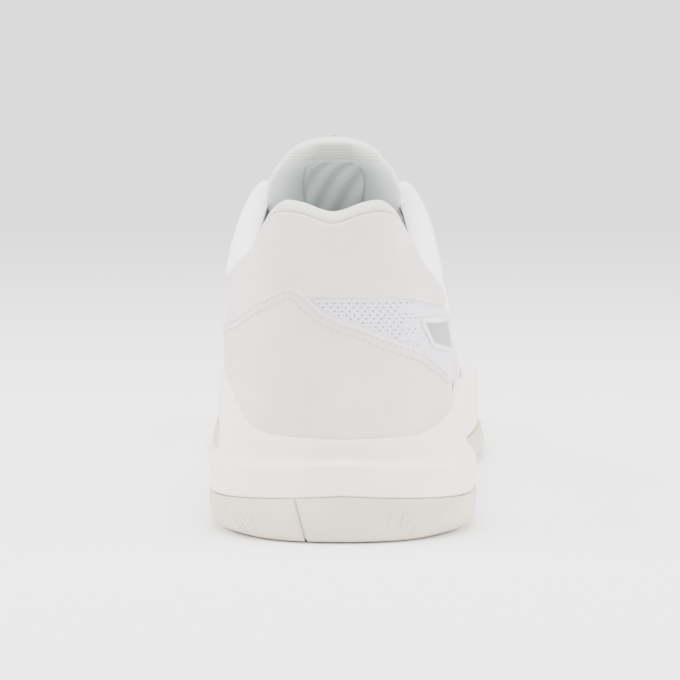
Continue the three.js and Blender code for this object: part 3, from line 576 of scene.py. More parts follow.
def clothFinish(name, look):
    # rows of knitted loops: two crossing waves on the cloth's own lengths
    material, nodes, links, shader = newMaterial(name)
    across, along = clothPlace(nodes, links)
    pitchU, pitchV = look["pitch"]
    waveV = waveOf(nodes, links, along, pitchV)
    shifted = addNode(nodes, "ShaderNodeMath", operation="MULTIPLY_ADD")
    shifted.inputs[1].default_value = 0.5 * pitchU / pitchV
    links.new(along, shifted.inputs[0])
    links.new(across, shifted.inputs[2])
    waveU = waveOf(nodes, links, shifted.outputs[0], pitchU)
    loops = multiply(nodes, links, waveU, waveV)
    fuzz = noiseOf(nodes, links, 2400.0)
    share = mapRange(nodes, links, loops, **{"From Max": 0.6})
    threads = mixColours(nodes, links, share, look["hollow"], look["thread"])
    # painted shade: the per-point shade amount darkens the knit towards the look's painted shade
    # colour
    painted_shade = addNode(nodes, "ShaderNodeAttribute", attribute_name="painted_shade")
    shaded = addNode(nodes, "ShaderNodeMix", data_type="RGBA", blend_type="MULTIPLY")
    links.new(painted_shade.outputs["Fac"], shaded.inputs["Factor"])
    links.new(threads, shaded.inputs[6])
    shaded.inputs[7].default_value = look["painted_deep_shade"]
    links.new(shaded.outputs[2], shader.inputs["Base Color"])
    height = addNode(nodes, "ShaderNodeMath", operation="MULTIPLY_ADD")
    height.inputs[1].default_value = 0.35
    links.new(fuzz, height.inputs[0])
    links.new(loops, height.inputs[2])
    links.new(bumpOf(nodes, links, height.outputs[0], look["depth"]), shader.inputs["Normal"])
    rough = mapRange(nodes, links, fuzz, **{"To Min": look["rough"] - 0.08,
                                            "To Max": look["rough"] + 0.05})
    links.new(rough, shader.inputs["Roughness"])
    shader.inputs["Sheen Weight"].default_value = look["sheen"]
    shader.inputs["Sheen Roughness"].default_value = 0.5
    return material


silver = {"dark": linear(150, 150, 154), "bright": linear(176, 176, 180), "linePitch": 0.7,
          "lineDepth": 0.03, "rough": (0.3, 0.42), "metallic": 0.35}


def silverFinish(look=silver):
    material, nodes, links, shader = newMaterial("silver_film")
    along = clothPlace(nodes, links)[1]
    lines = waveOf(nodes, links, along, look["linePitch"])
    cloud = noiseOf(nodes, links, 220.0, 3.0)
    colour = mixColours(nodes, links, cloud, look["dark"], look["bright"])
    links.new(colour, shader.inputs["Base Color"])
    links.new(bumpOf(nodes, links, lines, look["lineDepth"]), shader.inputs["Normal"])
    low, high = look["rough"]
    rough = mapRange(nodes, links, cloud, **{"To Min": low, "To Max": high})
    links.new(rough, shader.inputs["Roughness"])
    shader.inputs["Metallic"].default_value = look["metallic"]
    return material


woven = {"dark": linear(128, 135, 133), "bright": linear(160, 167, 164), "bandPitch": 7.6,
         "bandShift": 1.2, "slant": -0.5, "rowPitch": 0.55, "rowDepth": 0.05, "rough": 0.7,
         "sheen": 0.3}


def labelFinish(look=woven):
    # woven label behind the tongue: soft diagonal bands, darker than the lining
    material, nodes, links, shader = newMaterial("woven_label")
    across, along = clothPlace(nodes, links)
    slant = addNode(nodes, "ShaderNodeMath", operation="MULTIPLY_ADD")
    slant.inputs[1].default_value = look["slant"]
    links.new(across, slant.inputs[0])
    links.new(along, slant.inputs[2])
    bands = waveOf(nodes, links, slant.outputs[0], look["bandPitch"], look["bandShift"])
    rows = waveOf(nodes, links, across, look["rowPitch"])
    colour = mixColours(nodes, links, bands, look["dark"], look["bright"])
    links.new(colour, shader.inputs["Base Color"])
    links.new(bumpOf(nodes, links, rows, look["rowDepth"]), shader.inputs["Normal"])
    shader.inputs["Roughness"].default_value = look["rough"]
    shader.inputs["Sheen Weight"].default_value = look["sheen"]
    return material


materials = {name: plainFinish(name, look) for name, look in finishes.items()}
materials.update({name: clothFinish(name, look) for name, look in clothLooks.items()})
materials["silver"] = silverFinish()
materials["label"] = labelFinish()
# dark discs laid on the skin for the mesh dots and vent holes: their grey is painted shade inside
# the holes
hole = dict(finishes["stitch"], color=linear(158, 158, 168), shade=linear(138, 138, 150))
materials["painted_hole_shade"] = plainFinish("painted_hole_shade", hole)
print("finishes ready")

# camera, floor and light
camera = {"behindHeel": 0.670, "height": 0.1196, "lens": 120.6, "pitch": 5.01, "x": -0.0032}


def makeCamera():
    data = bpy.data.cameras.new("camera")
    data.lens = camera["lens"]
    data.sensor_width = 36
    data.dof.use_dof = False
    obj = bpy.data.objects.new("camera", data)
    obj.location = (camera["x"], cadLow.y - camera["behindHeel"], camera["height"])
    obj.rotation_euler = (math.radians(90 - camera["pitch"]), 0, 0)
    bpy.context.scene.collection.objects.link(obj)
    bpy.context.scene.camera = obj


stage = {"world": 2.1, "floorSize": 6.0, "floorDrop": 0.0004, "floorDark": 0.93,
         "floorBright": 0.96}
lights = {
    "left_light": {"place": (-0.9, -0.15, 0.7), "target": (0, -0.05, 0.05), "size": 0.7,
                   "power": 13},
    "right_light": {"place": (0.9, -0.2, 0.6), "target": (0, -0.05, 0.05), "size": 0.7,
                    "power": 11},
    "top_light": {"place": (0, -0.1, 1.3), "target": (0, 0, 0.05), "size": 0.8, "power": 26},
}


def makeLight(name, look):
    data = bpy.data.lights.new(name, "AREA")
    data.shape = "RECTANGLE"
    data.size = look["size"]
    data.size_y = look["size"]
    data.energy = look["power"]
    obj = bpy.data.objects.new(name, data)
    obj.location = look["place"]
    direction = Vector(look["target"]) - Vector(look["place"])
    obj.rotation_euler = direction.to_track_quat("-Z", "Y").to_euler()
    bpy.context.scene.collection.objects.link(obj)


def makeStage():
    world = bpy.data.worlds.new("studio")
    bpy.context.scene.world = world
    world.use_nodes = True
    background = world.node_tree.nodes["Background"]
    background.inputs["Color"].default_value = (1, 1, 1, 1)
    background.inputs["Strength"].default_value = stage["world"]
    for name, look in lights.items():
        makeLight(name, look)
    bpy.ops.mesh.primitive_plane_add(size=stage["floorSize"],
                                     location=(0, 0, cadLow.z - stage["floorDrop"]))
    floor = bpy.context.object
    floor.name = "floor"
    material, nodes, links, shader = newMaterial("floor_paper")
    dark = [stage["floorDark"]] * 3 + [1]
    bright = [stage["floorBright"]] * 3 + [1]
    colour = mixColours(nodes, links, noiseOf(nodes, links, 300.0), dark, bright)
    links.new(colour, shader.inputs["Base Color"])
    shader.inputs["Roughness"].default_value = 0.9
    floor.data.materials.append(material)


makeCamera()
makeStage()
print("camera, floor and light placed")

# Geometry Nodes: stitches along a line, and copies of a shape on points
def addTree(name, inputs):
    tree = bpy.data.node_groups.new(name, "GeometryNodeTree")
    tree.interface.new_socket("Geometry", in_out="INPUT", socket_type="NodeSocketGeometry")
    found = {}
    for label, kind, value in inputs:
        socket = tree.interface.new_socket(label, in_out="INPUT", socket_type=kind)
        if value is not None:
            socket.default_value = value
        found[label] = socket.identifier
    tree.interface.new_socket("Geometry", in_out="OUTPUT", socket_type="NodeSocketGeometry")
    return tree, found


def stitchTree():
    tree, found = addTree("stitch_row", [("Pitch", "NodeSocketFloat", 0.002),
                                         ("Length", "NodeSocketFloat", 0.0015),
                                         ("Radius", "NodeSocketFloat", 0.0003),
                                         ("Material", "NodeSocketMaterial", None)])
    nodes, links = tree.nodes, tree.links
    source = nodes.new("NodeGroupInput")
    result = nodes.new("NodeGroupOutput")
    resample = nodes.new("GeometryNodeResampleCurve")
    resample.mode = "LENGTH"
    links.new(source.outputs["Geometry"], resample.inputs["Curve"])
    links.new(source.outputs["Pitch"], resample.inputs["Length"])
    ball = nodes.new("GeometryNodeMeshUVSphere")
    ball.inputs["Segments"].default_value = 8
    ball.inputs["Rings"].default_value = 6
    ball.inputs["Radius"].default_value = 1.0
    half = nodes.new("ShaderNodeMath")
    half.operation = "MULTIPLY"
    half.inputs[1].default_value = 0.5
    links.new(source.outputs["Length"], half.inputs[0])
    size = nodes.new("ShaderNodeCombineXYZ")
    links.new(source.outputs["Radius"], size.inputs["X"])
    links.new(source.outputs["Radius"], size.inputs["Y"])
    links.new(half.outputs[0], size.inputs["Z"])
    tangent = nodes.new("GeometryNodeInputTangent")
    turn = nodes.new("FunctionNodeAlignRotationToVector")
    turn.axis = "Z"
    links.new(tangent.outputs["Tangent"], turn.inputs["Vector"])
    place = nodes.new("GeometryNodeInstanceOnPoints")
    links.new(resample.outputs["Curve"], place.inputs["Points"])
    links.new(ball.outputs["Mesh"], place.inputs["Instance"])
    links.new(turn.outputs["Rotation"], place.inputs["Rotation"])
    links.new(size.outputs["Vector"], place.inputs["Scale"])
    real = nodes.new("GeometryNodeRealizeInstances")
    links.new(place.outputs["Instances"], real.inputs["Geometry"])
    shade = nodes.new("GeometryNodeSetShadeSmooth")
    links.new(real.outputs["Geometry"], shade.inputs["Geometry"])
    paint = nodes.new("GeometryNodeSetMaterial")
    links.new(shade.outputs["Geometry"], paint.inputs["Geometry"])
    links.new(source.outputs["Material"], paint.inputs["Material"])
    links.new(paint.outputs["Geometry"], result.inputs["Geometry"])
    return tree, found


def copyTree():
    tree, found = addTree("copies_on_points", [("Shape", "NodeSocketObject", None),
                                               ("Material", "NodeSocketMaterial", None)])
    nodes, links = tree.nodes, tree.links
    source = nodes.new("NodeGroupInput")
    result = nodes.new("NodeGroupOutput")
    shape = nodes.new("GeometryNodeObjectInfo")
    links.new(source.outputs["Shape"], shape.inputs["Object"])
    facing = nodes.new("GeometryNodeInputNamedAttribute")
    facing.data_type = "FLOAT_VECTOR"
    facing.inputs["Name"].default_value = "facing"
    heading = nodes.new("GeometryNodeInputNamedAttribute")
    heading.data_type = "FLOAT_VECTOR"
    heading.inputs["Name"].default_value = "heading"
    turn = nodes.new("FunctionNodeAlignRotationToVector")
    turn.axis = "Z"
    links.new(facing.outputs["Attribute"], turn.inputs["Vector"])
    aim = nodes.new("FunctionNodeAlignRotationToVector")
    aim.axis = "X"
    aim.pivot_axis = "Z"
    links.new(turn.outputs["Rotation"], aim.inputs["Rotation"])
    links.new(heading.outputs["Attribute"], aim.inputs["Vector"])
    place = nodes.new("GeometryNodeInstanceOnPoints")
    links.new(source.outputs["Geometry"], place.inputs["Points"])
    links.new(shape.outputs["Geometry"], place.inputs["Instance"])
    links.new(aim.outputs["Rotation"], place.inputs["Rotation"])
    real = nodes.new("GeometryNodeRealizeInstances")
    links.new(place.outputs["Instances"], real.inputs["Geometry"])
    paint = nodes.new("GeometryNodeSetMaterial")
    links.new(real.outputs["Geometry"], paint.inputs["Geometry"])
    links.new(source.outputs["Material"], paint.inputs["Material"])
    links.new(paint.outputs["Geometry"], result.inputs["Geometry"])
    return tree, found


stitchRow, stitchInputs = stitchTree()
copies, copyInputs = copyTree()


def settle(carrier, name):
    # turns the evaluated carrier into a plain mesh object and drops the carrier
    bpy.context.view_layer.update()
    graph = bpy.context.evaluated_depsgraph_get()
    mesh = bpy.data.meshes.new_from_object(carrier.evaluated_get(graph))
    obj = bpy.data.objects.new(name, mesh)
    bpy.data.objects.remove(carrier)
    bpy.context.scene.collection.objects.link(obj)
    return obj


stitch = {"pitch": 2.0, "length": 1.55, "radius": 0.27}


def stitchLines(name, lines, material, look=stitch):
    curve = bpy.data.curves.new(name + "_line", "CURVE")
    curve.dimensions = "3D"
    for line in lines:
        points = toFrame(line)
        spline = curve.splines.new("POLY")
        spline.points.add(len(points) - 1)
        flat = np.concatenate([points, np.ones((len(points), 1))], 1)
        spline.points.foreach_set("co", flat.ravel())
    carrier = bpy.data.objects.new(name + "_line", curve)
    bpy.context.scene.collection.objects.link(carrier)
    modifier = carrier.modifiers.new("stitches", "NODES")
    modifier.node_group = stitchRow
    modifier[stitchInputs["Pitch"]] = look["pitch"] * mm
    modifier[stitchInputs["Length"]] = look["length"] * mm
    modifier[stitchInputs["Radius"]] = look["radius"] * mm
    modifier[stitchInputs["Material"]] = material
    return settle(carrier, name)


def copiesAt(name, shape, points, facing, heading, material):
    mesh = bpy.data.meshes.new(name + "_points")
    mesh.from_pydata([tuple(p) for p in toFrame(points)], [], [])
    for label, values in (("facing", facing), ("heading", heading)):
        attribute = mesh.attributes.new(label, "FLOAT_VECTOR", "POINT")
        attribute.data.foreach_set("vector", np.asarray(values, np.float32).ravel())
    carrier = bpy.data.objects.new(name + "_points", mesh)
    bpy.context.scene.collection.objects.link(carrier)
    modifier = carrier.modifiers.new("copies", "NODES")
    modifier.node_group = copies
    modifier[copyInputs["Shape"]] = shape
    modifier[copyInputs["Material"]] = material
    made = settle(carrier, name)
    bpy.data.objects.remove(shape)
    return made


def bendWithToe(piece):
    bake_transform(piece)


# upper: one mesh shell from the heel to the toe
eyelets = {"stations": [0.536, 0.559, 0.582, 0.605, 0.628, 0.652], "v": 0.89, "hole": 2.2,
           "ring": 2.75, "ringThick": 0.75}
upperShell = {"stations": 150, "rows": 56, "throatStep": 0.0035}


def eyeletPlaces():
    u = np.array([side * s for side in (1, -1) for s in eyelets["stations"]])
    v = np.full(u.shape, eyelets["v"])
    return u, v


def makeUpper():
    count = upperShell["stations"]
    end, before = shoe["throat"], shoe["throat"] - upperShell["throatStep"]
    u = np.concatenate([np.linspace(-1, 1, 2 * count + 1), [-end, end, -before, before]])
    u = np.unique(np.round(np.sort(u), 9))
    v = np.linspace(0, 1, upperShell["rows"] + 1)
    grid = np.broadcast_to(u[:, None], (len(u), len(v)))
    rows = np.broadcast_to(v[None], grid.shape)
    outer = skin(grid, rows, np.full(grid.shape, 0.0))
    inner = skin(grid, rows, np.full(grid.shape, -shoe["shell"]))
    closedFrom = shoe["throat"] - 0.0001
    holeU, holeV = eyeletPlaces()
    holes = [(p, eyelets["hole"]) for p in skin(holeU, holeV, np.zeros(holeU.shape))]
    piece = shellObject("upper_mesh", outer, inner, materials["upperMesh"], holes=holes,
                        sewn=lambda i: min(abs(u[i]), abs(u[i + 1])) > closedFrom)
    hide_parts("upper_shell", "vamp_flex_panel", "toe_box")
    bendWithToe(piece)


makeUpper()
print("upper shell made")

# rear panel and heel overlay
overlay = {"panelTop": 0.95, "overlayTop": 1.6, "base": 0.08, "panelSoft": 0.9,
           "overlaySoft": 1.3, "stitchDrops": (1.5, 3.6)}
heelOverlayTop = through([(-0.36, 58), (-0.297, 61.8), (-0.185, 66.8), (-0.137, 71.3),
                          (-0.105, 74), (-0.088, 75.6), (-0.074, 76), (-0.061, 75.1),
                          (-0.05, 73.5), (-0.022, 68.8), (0.011, 65.8), (0.032, 64.6),
                          (0.084, 59.9), (0.129, 56.2), (0.178, 49.8), (0.19, 48.4)])
rearPanelLow = through([(-0.345, 60), (-0.2, 62), (-0.12, 68), (-0.07, 71), (-0.045, 72),
                        (-0.03, 72.7), (0, 72.7), (0.1, 72.6), (0.2, 69.8), (0.3, 67),
                        (0.345, 68.4)])


def makeRearPanel():
    outer, inner = patchSheets({
        "uStart": -0.345, "uEnd": 0.345, "from": overlay["base"], "to": overlay["panelTop"],
        "low": lambda u: heightToV(u, rearPanelLow(u)), "high": lambda u: np.ones(u.shape),
        "soft": overlay["panelSoft"], "relief": lambda p: ripple(p, 26, 0.12, 3)}, 180, 44)
    piece = shellObject("rear_panel_skin", outer, inner, materials["panel"])
    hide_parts("rear_panel")
    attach(piece, "rear_shoe")


def makeHeelOverlay():
    outer, inner = patchSheets({
        "uStart": -0.36, "uEnd": 0.205, "from": overlay["base"], "to": overlay["overlayTop"],
        "low": lambda u: heightToV(u, wallTop(u) - 3),
        "high": lambda u: heightToV(u, np.maximum(heelOverlayTop(u), wallTop(u) + 1)),
        "soft": overlay["overlaySoft"], "relief": lambda p: ripple(p, 30, 0.16, 5)}, 220, 60)
    piece = shellObject("heel_overlay_skin", outer, inner, materials["panel"])
    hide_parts("heel_overlay")
    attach(piece, "rear_shoe")


def makeHeelStitches():
    u = np.linspace(-0.34, 0.187, 400)
    lines = []
    v = heightToV(u, heelOverlayTop(u))
    top = skin(u, v, np.full(u.shape, overlay["overlayTop"]))
    down = unitVector(np.cross(skinNormal(u, v), unitVector(np.gradient(top, axis=0))))
    down = np.where(down[:, 2:3] > 0, -down, down)
    for drop in overlay["stitchDrops"]:
        lines.append(top + down * drop)
    piece = stitchLines("heel_overlay_stitches", lines, materials["stitch"])
    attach(piece, "rear_shoe")


makeRearPanel()
makeHeelOverlay()
makeHeelStitches()
print("rear panels made")

# dotted mesh between the rear panel and the overlay
dots = {"pitch": 2.35, "row": 1.15, "rows": 22, "top": 72.2, "size": (0.46, 0.3), "reach": 0.118,
        "waver": 0.02, "clear": 0.7}


def discShape(size, sides=10):
    angle = np.linspace(0, 2 * math.pi, sides, endpoint=False)
    rim = np.stack([size[0] * np.cos(angle), size[1] * np.sin(angle), 0 * angle], -1)
    points = np.concatenate([rim, [[0, 0, 0.08]], rim * [1, 1, 0] - [0, 0, 0.15]]) * mm
    faces = [(j, (j + 1) % sides, sides) for j in range(sides)]
    faces += [((j + 1) % sides, j, sides + 1 + j, sides + 1 + (j + 1) % sides)
              for j in range(sides)]
    faces.append(tuple(sides + 1 + j for j in reversed(range(sides))))
    mesh = bpy.data.meshes.new("disc")
    mesh.from_pydata([tuple(p) for p in points], [], faces)
    return bpy.data.objects.new("disc", mesh)


def makeMeshDots():
    uList, zList = [], []
    u = np.linspace(-0.045, 0.345, 600)
    path = skin(u, heightToV(u, np.full(u.shape, 66.0)), np.zeros(u.shape))
    length = np.concatenate([[0], np.cumsum(np.linalg.norm(np.diff(path, axis=0), axis=1))])
    count = int(length[-1] / dots["pitch"])
    for row in range(dots["rows"]):
        z = dots["top"] - row * dots["row"]
        at = (np.arange(count) + 0.5 * (row % 2)) * dots["pitch"]
        place = np.interp(at, length, u)
        low = np.maximum(heelOverlayTop(np.minimum(place, 0.19)) + 0.9,
                         wallTop(place) + 2)
        reach = dots["reach"] + dots["waver"] * math.sin(row * 1.7)
        inside = (z > low) & (z < rearPanelLow(place) - dots["clear"]) & (place < reach)
        uList += list(place[inside])
        zList += [z] * int(inside.sum())
    u = np.array(uList)
    v = heightToV(u, np.array(zList))
    facing = skinNormal(u, v)
    heading = unitVector(np.cross([0, 0, 1.0], facing))
    piece = copiesAt("mesh_dots", discShape(dots["size"]), skin(u, v, np.full(u.shape, 0.02)),
                     facing, heading, materials["painted_hole_shade"])
    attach(piece, "rear_shoe")


makeMeshDots()

vents = {"from": 0.735, "to": 0.875, "rows": 9, "inRow": 9, "size": (0.75, 0.75), "low": 0.62,
         "high": 0.98}


def makeVents():
    # staggered vent holes across the vamp and toe box
    uList, vList = [], []
    stations = np.linspace(vents["from"], vents["to"], vents["rows"])
    for row, s in enumerate(stations):
        for side in (-1, 1):
            count = vents["inRow"] - row // 3
            share = (np.arange(count) + 0.5 + 0.25 * side * (1 - 2 * (row % 2))) / count
            uList += [side * s] * count
            vList += list(vents["low"] + (vents["high"] - vents["low"]) * share)
    u, v = np.array(uList), np.array(vList)
    facing = skinNormal(u, v)
    heading = unitVector(np.cross([0, 0, 1.0], facing))
    piece = copiesAt("vent_holes", discShape(vents["size"]), skin(u, v, np.full(u.shape, 0.02)),
                     facing, heading, materials["painted_hole_shade"])
    bendWithToe(piece)


makeVents()

# silver window with its raised frame
window = {"top": ((0.146, 65.4), (0.29, 62.8)), "low": ((0.166, 57.6), (0.282, 53)),
          "bead": 0.7, "beadLift": 0.55, "film": 0.45}


def windowPoint(a, b):
    # a runs along the shoe, b upwards, both 0 to 1; gives the place on the skin
    (topU, topZ), (topUEnd, topZEnd) = window["top"]
    (lowU, lowZ), (lowUEnd, lowZEnd) = window["low"]
    upperU, upperZ = topU + (topUEnd - topU) * a, topZ + (topZEnd - topZ) * a
    lowerU, lowerZ = lowU + (lowUEnd - lowU) * a, lowZ + (lowZEnd - lowZ) * a
    u = lowerU + (upperU - lowerU) * b
    return u, heightToV(u, lowerZ + (upperZ - lowerZ) * b)


def makeWindow():
    side = np.linspace(0, 1, 34)[:-1]
    none = 0 * side
    a = np.concatenate([side, none + 1, 1 - side, none])
    b = np.concatenate([none, side, none + 1, 1 - side])
    u, v = windowPoint(a, b)
    centre = skin(u, v, np.full(u.shape, window["beadLift"]))
    n = skinNormal(u, v)
    along = unitVector(np.roll(centre, -1, 0) - np.roll(centre, 1, 0))
    across = np.cross(n, along)
    angle = np.linspace(0, 2 * math.pi, 12, endpoint=False)
    loops = [c + window["bead"] * (across[i] * np.cos(angle)[:, None]
                                   + 0.9 * n[i] * np.sin(angle)[:, None])
             for i, c in enumerate(centre)]
    loops.append(loops[0])
    rim = loftObject("window_frame_bead", loops, materials["frameFilm"], capped=False)
    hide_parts("window_frame")
    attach(rim, "rear_shoe")
    a, b = np.meshgrid(np.linspace(0, 1, 40), np.linspace(0, 1, 16), indexing="ij")
    u, v = windowPoint(a, b)
    film = shellObject("window_film", skin(u, v, np.full(u.shape, window["film"])),
                       skin(u, v, np.full(u.shape, 0.05)), materials["silver"])
    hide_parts("window_inlay")
    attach(film, "rear_shoe")


makeWindow()
print("mesh dots and window made")

# side overlays and eyestays
sides = {"overlayStart": 0.4, "overlayEnd": 0.56, "overlayHigh": 0.78, "overlayRise": 0.85,
         "overlaySoft": 0.9, "stayStart": 0.4, "stayEnd": 0.668, "stayLow": 0.745, "stayWave": 0.03,
         "stayRise": 1.45, "staySoft": 1.0}


def stayEdge(u, above):
    # the eyestay's wavy lower edge, and the stitch lines a little above it
    return above + sides["stayWave"] * np.sin(np.abs(u) * 20)


def makeSides():
    holeU, holeV = eyeletPlaces()
    holeCentres = skin(holeU, holeV, np.full(holeU.shape, 1.0))
    for label, side in (("lateral", 1), ("medial", -1)):
        outer, inner = patchSheets({
            "uStart": side * sides["overlayStart"], "uEnd": side * sides["overlayEnd"],
            "from": overlay["base"], "to": sides["overlayRise"], "soft": sides["overlaySoft"],
            "low": lambda u: heightToV(u, wallTop(u) - 3),
            "high": lambda u: np.full(u.shape, sides["overlayHigh"])}, 60, 60)
        piece = shellObject(f"side_overlay_{label}_skin", outer, inner, materials["panel"])
        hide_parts(f"side_overlay_{label}")
        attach(piece, "rear_shoe")
        outer, inner = patchSheets({
            "uStart": side * sides["stayStart"], "uEnd": side * sides["stayEnd"],
            "from": overlay["base"], "to": sides["stayRise"], "soft": sides["staySoft"],
            "low": lambda u: stayEdge(u, sides["stayLow"]),
            "high": lambda u: np.ones(u.shape)}, 240, 40)
        holes = [(p, eyelets["hole"]) for p in holeCentres]
        stay = shellObject(f"eyestay_{label}_skin", outer, inner, materials["panel"],
                           holes=holes)
        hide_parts(f"eyestay_{label}")
        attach(stay, "rear_shoe")


def ringShape(radius, thick, sides=20, section=8):
    around = np.linspace(0, 2 * math.pi, sides, endpoint=False)
    angle = np.linspace(0, 2 * math.pi, section, endpoint=False)
    points = []
    for a in around:
        out = radius + thick * np.cos(angle)
        rise = 0.6 * thick * np.sin(angle)
        points += list(np.stack([out * math.cos(a), out * math.sin(a), rise], -1))
    faces = []
    for i in range(sides):
        for j in range(section):
            k = (i + 1) % sides
            m = (j + 1) % section
            faces.append((i * section + j, k * section + j, k * section + m, i * section + m))
    mesh = bpy.data.meshes.new("ring")
    mesh.from_pydata([tuple(p) for p in np.array(points) * mm], [], faces)
    mesh.polygons.foreach_set("use_smooth", [True] * len(faces))
    return bpy.data.objects.new("ring", mesh)


def makeEyelets():
    u, v = eyeletPlaces()
    facing = skinNormal(u, v)
    heading = unitVector(np.cross([0, 1.0, 0], facing))
    ring = ringShape(eyelets["ring"], eyelets["ringThick"])
    places = skin(u, v, np.full(u.shape, sides["stayRise"]))
    piece = copiesAt("eyelet_rings", ring, places, facing, heading, materials["frameFilm"])
    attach(piece, "rear_shoe")


def offsetLine(u, v, lift):
    return skin(u, v, np.full(u.shape, lift))


def makeSideStitches():
    lines = []
    for side in (1, -1):
        u = side * np.linspace(sides["stayStart"] + 0.008, sides["stayEnd"] - 0.006, 260)
        lines.append(offsetLine(u, stayEdge(u, sides["stayLow"] + 0.02), 1.4))
        lines.append(offsetLine(u, stayEdge(u, sides["stayLow"] + 0.045), sides["stayRise"]))
        for edge in (sides["overlayStart"] + 0.006, sides["overlayEnd"] - 0.006):
            v = np.linspace(0.42, 0.73, 80)
            lines.append(offsetLine(np.full(v.shape, side * edge), v, sides["overlayRise"]))
    piece = stitchLines("side_stitches", lines, materials["stitch"])
    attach(piece, "rear_shoe")


piping = {"lift": 0.75, "wide": 1.1, "high": 0.9, "low": 0.2, "length": 0.59}


def makePiping():
    # thin white cord along the rear edge of each side overlay
    for label, side in (("lateral", 1), ("medial", -1)):
        share = np.linspace(0, 1, 60)
        u = side * (sides["overlayStart"] + 0.001 + 0 * share)
        v = piping["low"] + piping["length"] * share
        centre = skin(u, v, np.full(u.shape, piping["lift"]))
        n = skinNormal(u, v)
        along = unitVector(np.gradient(centre, axis=0))
        across = unitVector(np.cross(n, along))
        angle = np.linspace(0, 2 * math.pi, 14, endpoint=False)
        loops = [c + across[i] * piping["wide"] * np.cos(angle)[:, None]
                 + n[i] * piping["high"] * np.sin(angle)[:, None] for i, c in enumerate(centre)]
        piece = loftObject(f"side_piping_{label}", loops, materials["frameFilm"])
        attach(piece, "rear_shoe")


makeSides()
makeEyelets()
makeSideStitches()
makePiping()
print("sides and eyelets made")

# toe guard
toeGuard = {"reach": 0.23, "rise": 1.3, "soft": 1.1}


def makeToeGuard():
    # around turns a run across the toe tip into the shoe's own stations
    def around(p):
        return np.where(p >= 0, 1 - p, -1 - p)

    outer, inner = patchSheets({
        "uStart": toeGuard["reach"], "uEnd": -toeGuard["reach"], "around": around,
        "from": overlay["base"], "to": toeGuard["rise"], "soft": toeGuard["soft"],
        "low": lambda u: heightToV(u, wallTop(u) - 2),
        "high": lambda u: np.minimum(heightToV(
            u, wallTop(u) + 4.5 + 4 * smoothStep(np.abs(u), 0.78, 0.96)), 0.8)}, 160, 24)
    piece = shellObject("toe_guard_skin", outer, inner, materials["rubber"])
    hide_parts("toe_guard")
    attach(piece, "forefoot")


makeToeGuard()

# collar: lining, padding and the knit roll along the top
collar = {"reach": 0.512, "rollWide": 4.3, "rollHigh": 3.4, "outer": 0.1, "back": -2.0,
          "low": 0.13, "depth": 5.2, "crown": 4.6, "frontFrom": 0.285, "frontEnd": 0.52,
          "puff": 0.8, "padDrop": 0.27}


def padDepth(v):
    # the lining's distance inside the shell, swelling towards the top
    swell = np.sin(math.pi * np.clip((v - 0.3) / 0.72, 0, 1))
    return collar["depth"] + collar["crown"] * swell


def frontShare(u):
    # 0 along the heel's knit binding, 1 along the smooth padded front of the collar
    return smoothStep(np.abs(u), collar["frontFrom"], collar["frontFrom"] + 0.05)


def makeCollar():
    u = np.linspace(-collar["reach"], collar["reach"], 280)
    top = topEdge(u)
    n = skinNormal(u, np.full(u.shape, 0.97))
    flat = unitVector(n * [1, 1, 0])
    vLow = collar["low"]
    lowV = np.linspace(vLow, 0.94, 30)
    loops, painted_shade = [], []
    ease = smoothStep(np.abs(u), 0.40, 0.50)
    front = frontShare(u)
    for i in range(len(u)):
        thin = 1 - 0.25 * ease[i] - 0.2 * front[i]
        inside = skin(np.full(lowV.shape, u[i]), lowV, -padDepth(lowV) * thin)
        wide = collar["rollWide"] + 0.4 * front[i] - 0.6 * ease[i]
        high = collar["rollHigh"] + 0.5 * front[i]
        centre = top[i] + flat[i] * (collar["outer"] + 0.7 * front[i] - wide) + [0, 0, 0.15]
        angle = np.radians(np.linspace(172, -24, 20))
        roll = (centre + flat[i] * wide * np.cos(angle)[:, None]
                + np.array([0, 0, high]) * np.sin(angle)[:, None])
        tuckV = np.array([0.985, 0.96])
        tuck = skin(np.full(2, u[i]), tuckV, np.array([-0.35, -1.9]))
        backV = np.linspace(0.93, vLow, 8)
        back = skin(np.full(8, u[i]), backV, np.full(8, collar["back"]))
        loops.append(np.concatenate([inside, roll, tuck, back]))
        # painted shade: the lining darkens low inside the collar, and the knit darkens in the
        # crease where the roll tucks in against the shell
        painted_deep_shade = 0.75 * (1 - smoothStep(lowV, 0.5, 0.98))
        seam = smoothStep(-angle, -0.25, 0.2)
        painted_shade.append(np.concatenate([painted_deep_shade, seam, np.full(10, 0.9)]))
    loops = np.array(loops)
    rolled = range(len(lowV), len(lowV) + 21)

    def slotOf(i, j):
        if j not in rolled:
            return 1
        return 2 if front[i] > 0.5 else 0

    piece = loftObject("collar_lining_padded", loops, materials["collarKnit"],
                       painted_shade=np.array(painted_shade), slotOf=slotOf,
                       others=(materials["liningKnit"], materials["padSkin"]))
    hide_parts("collar_lining", "collar_padding", "collar_rim")
    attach(piece, "rear_shoe")


def makeCollarFront():
    # smooth padded quarters in front of the ankle, outside the shell
    for label, side in (("lateral", 1), ("medial", -1)):
        u = side * np.linspace(collar["frontFrom"] + 0.005, collar["frontEnd"], 90)
        share = np.linspace(0, 1, 90)[:, None]
        b = np.linspace(0, 1, 40)[None]
        low = 0.985 - collar["padDrop"] * quarterRound(np.minimum(share / 0.3, (1 - share) / 0.12))
        v = low + (1 - low) * b
        across = np.clip(1 - (2 * share - 1) ** 6, 0, 1)
        rise = quarterRound(b / 0.35)
        lift = 0.12 + collar["puff"] * across * rise * (1 - 0.35 * b ** 3)
        grid = np.broadcast_to(u[:, None], v.shape)
        outer = skin(grid, v, lift)
        inner = skin(grid, v, np.full(v.shape, 0.05))
        piece = shellObject(f"collar_front_pad_{label}", outer, inner, materials["padSkin"])
        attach(piece, "rear_shoe")


makeCollarFront()
makeCollar()
print("collar made")

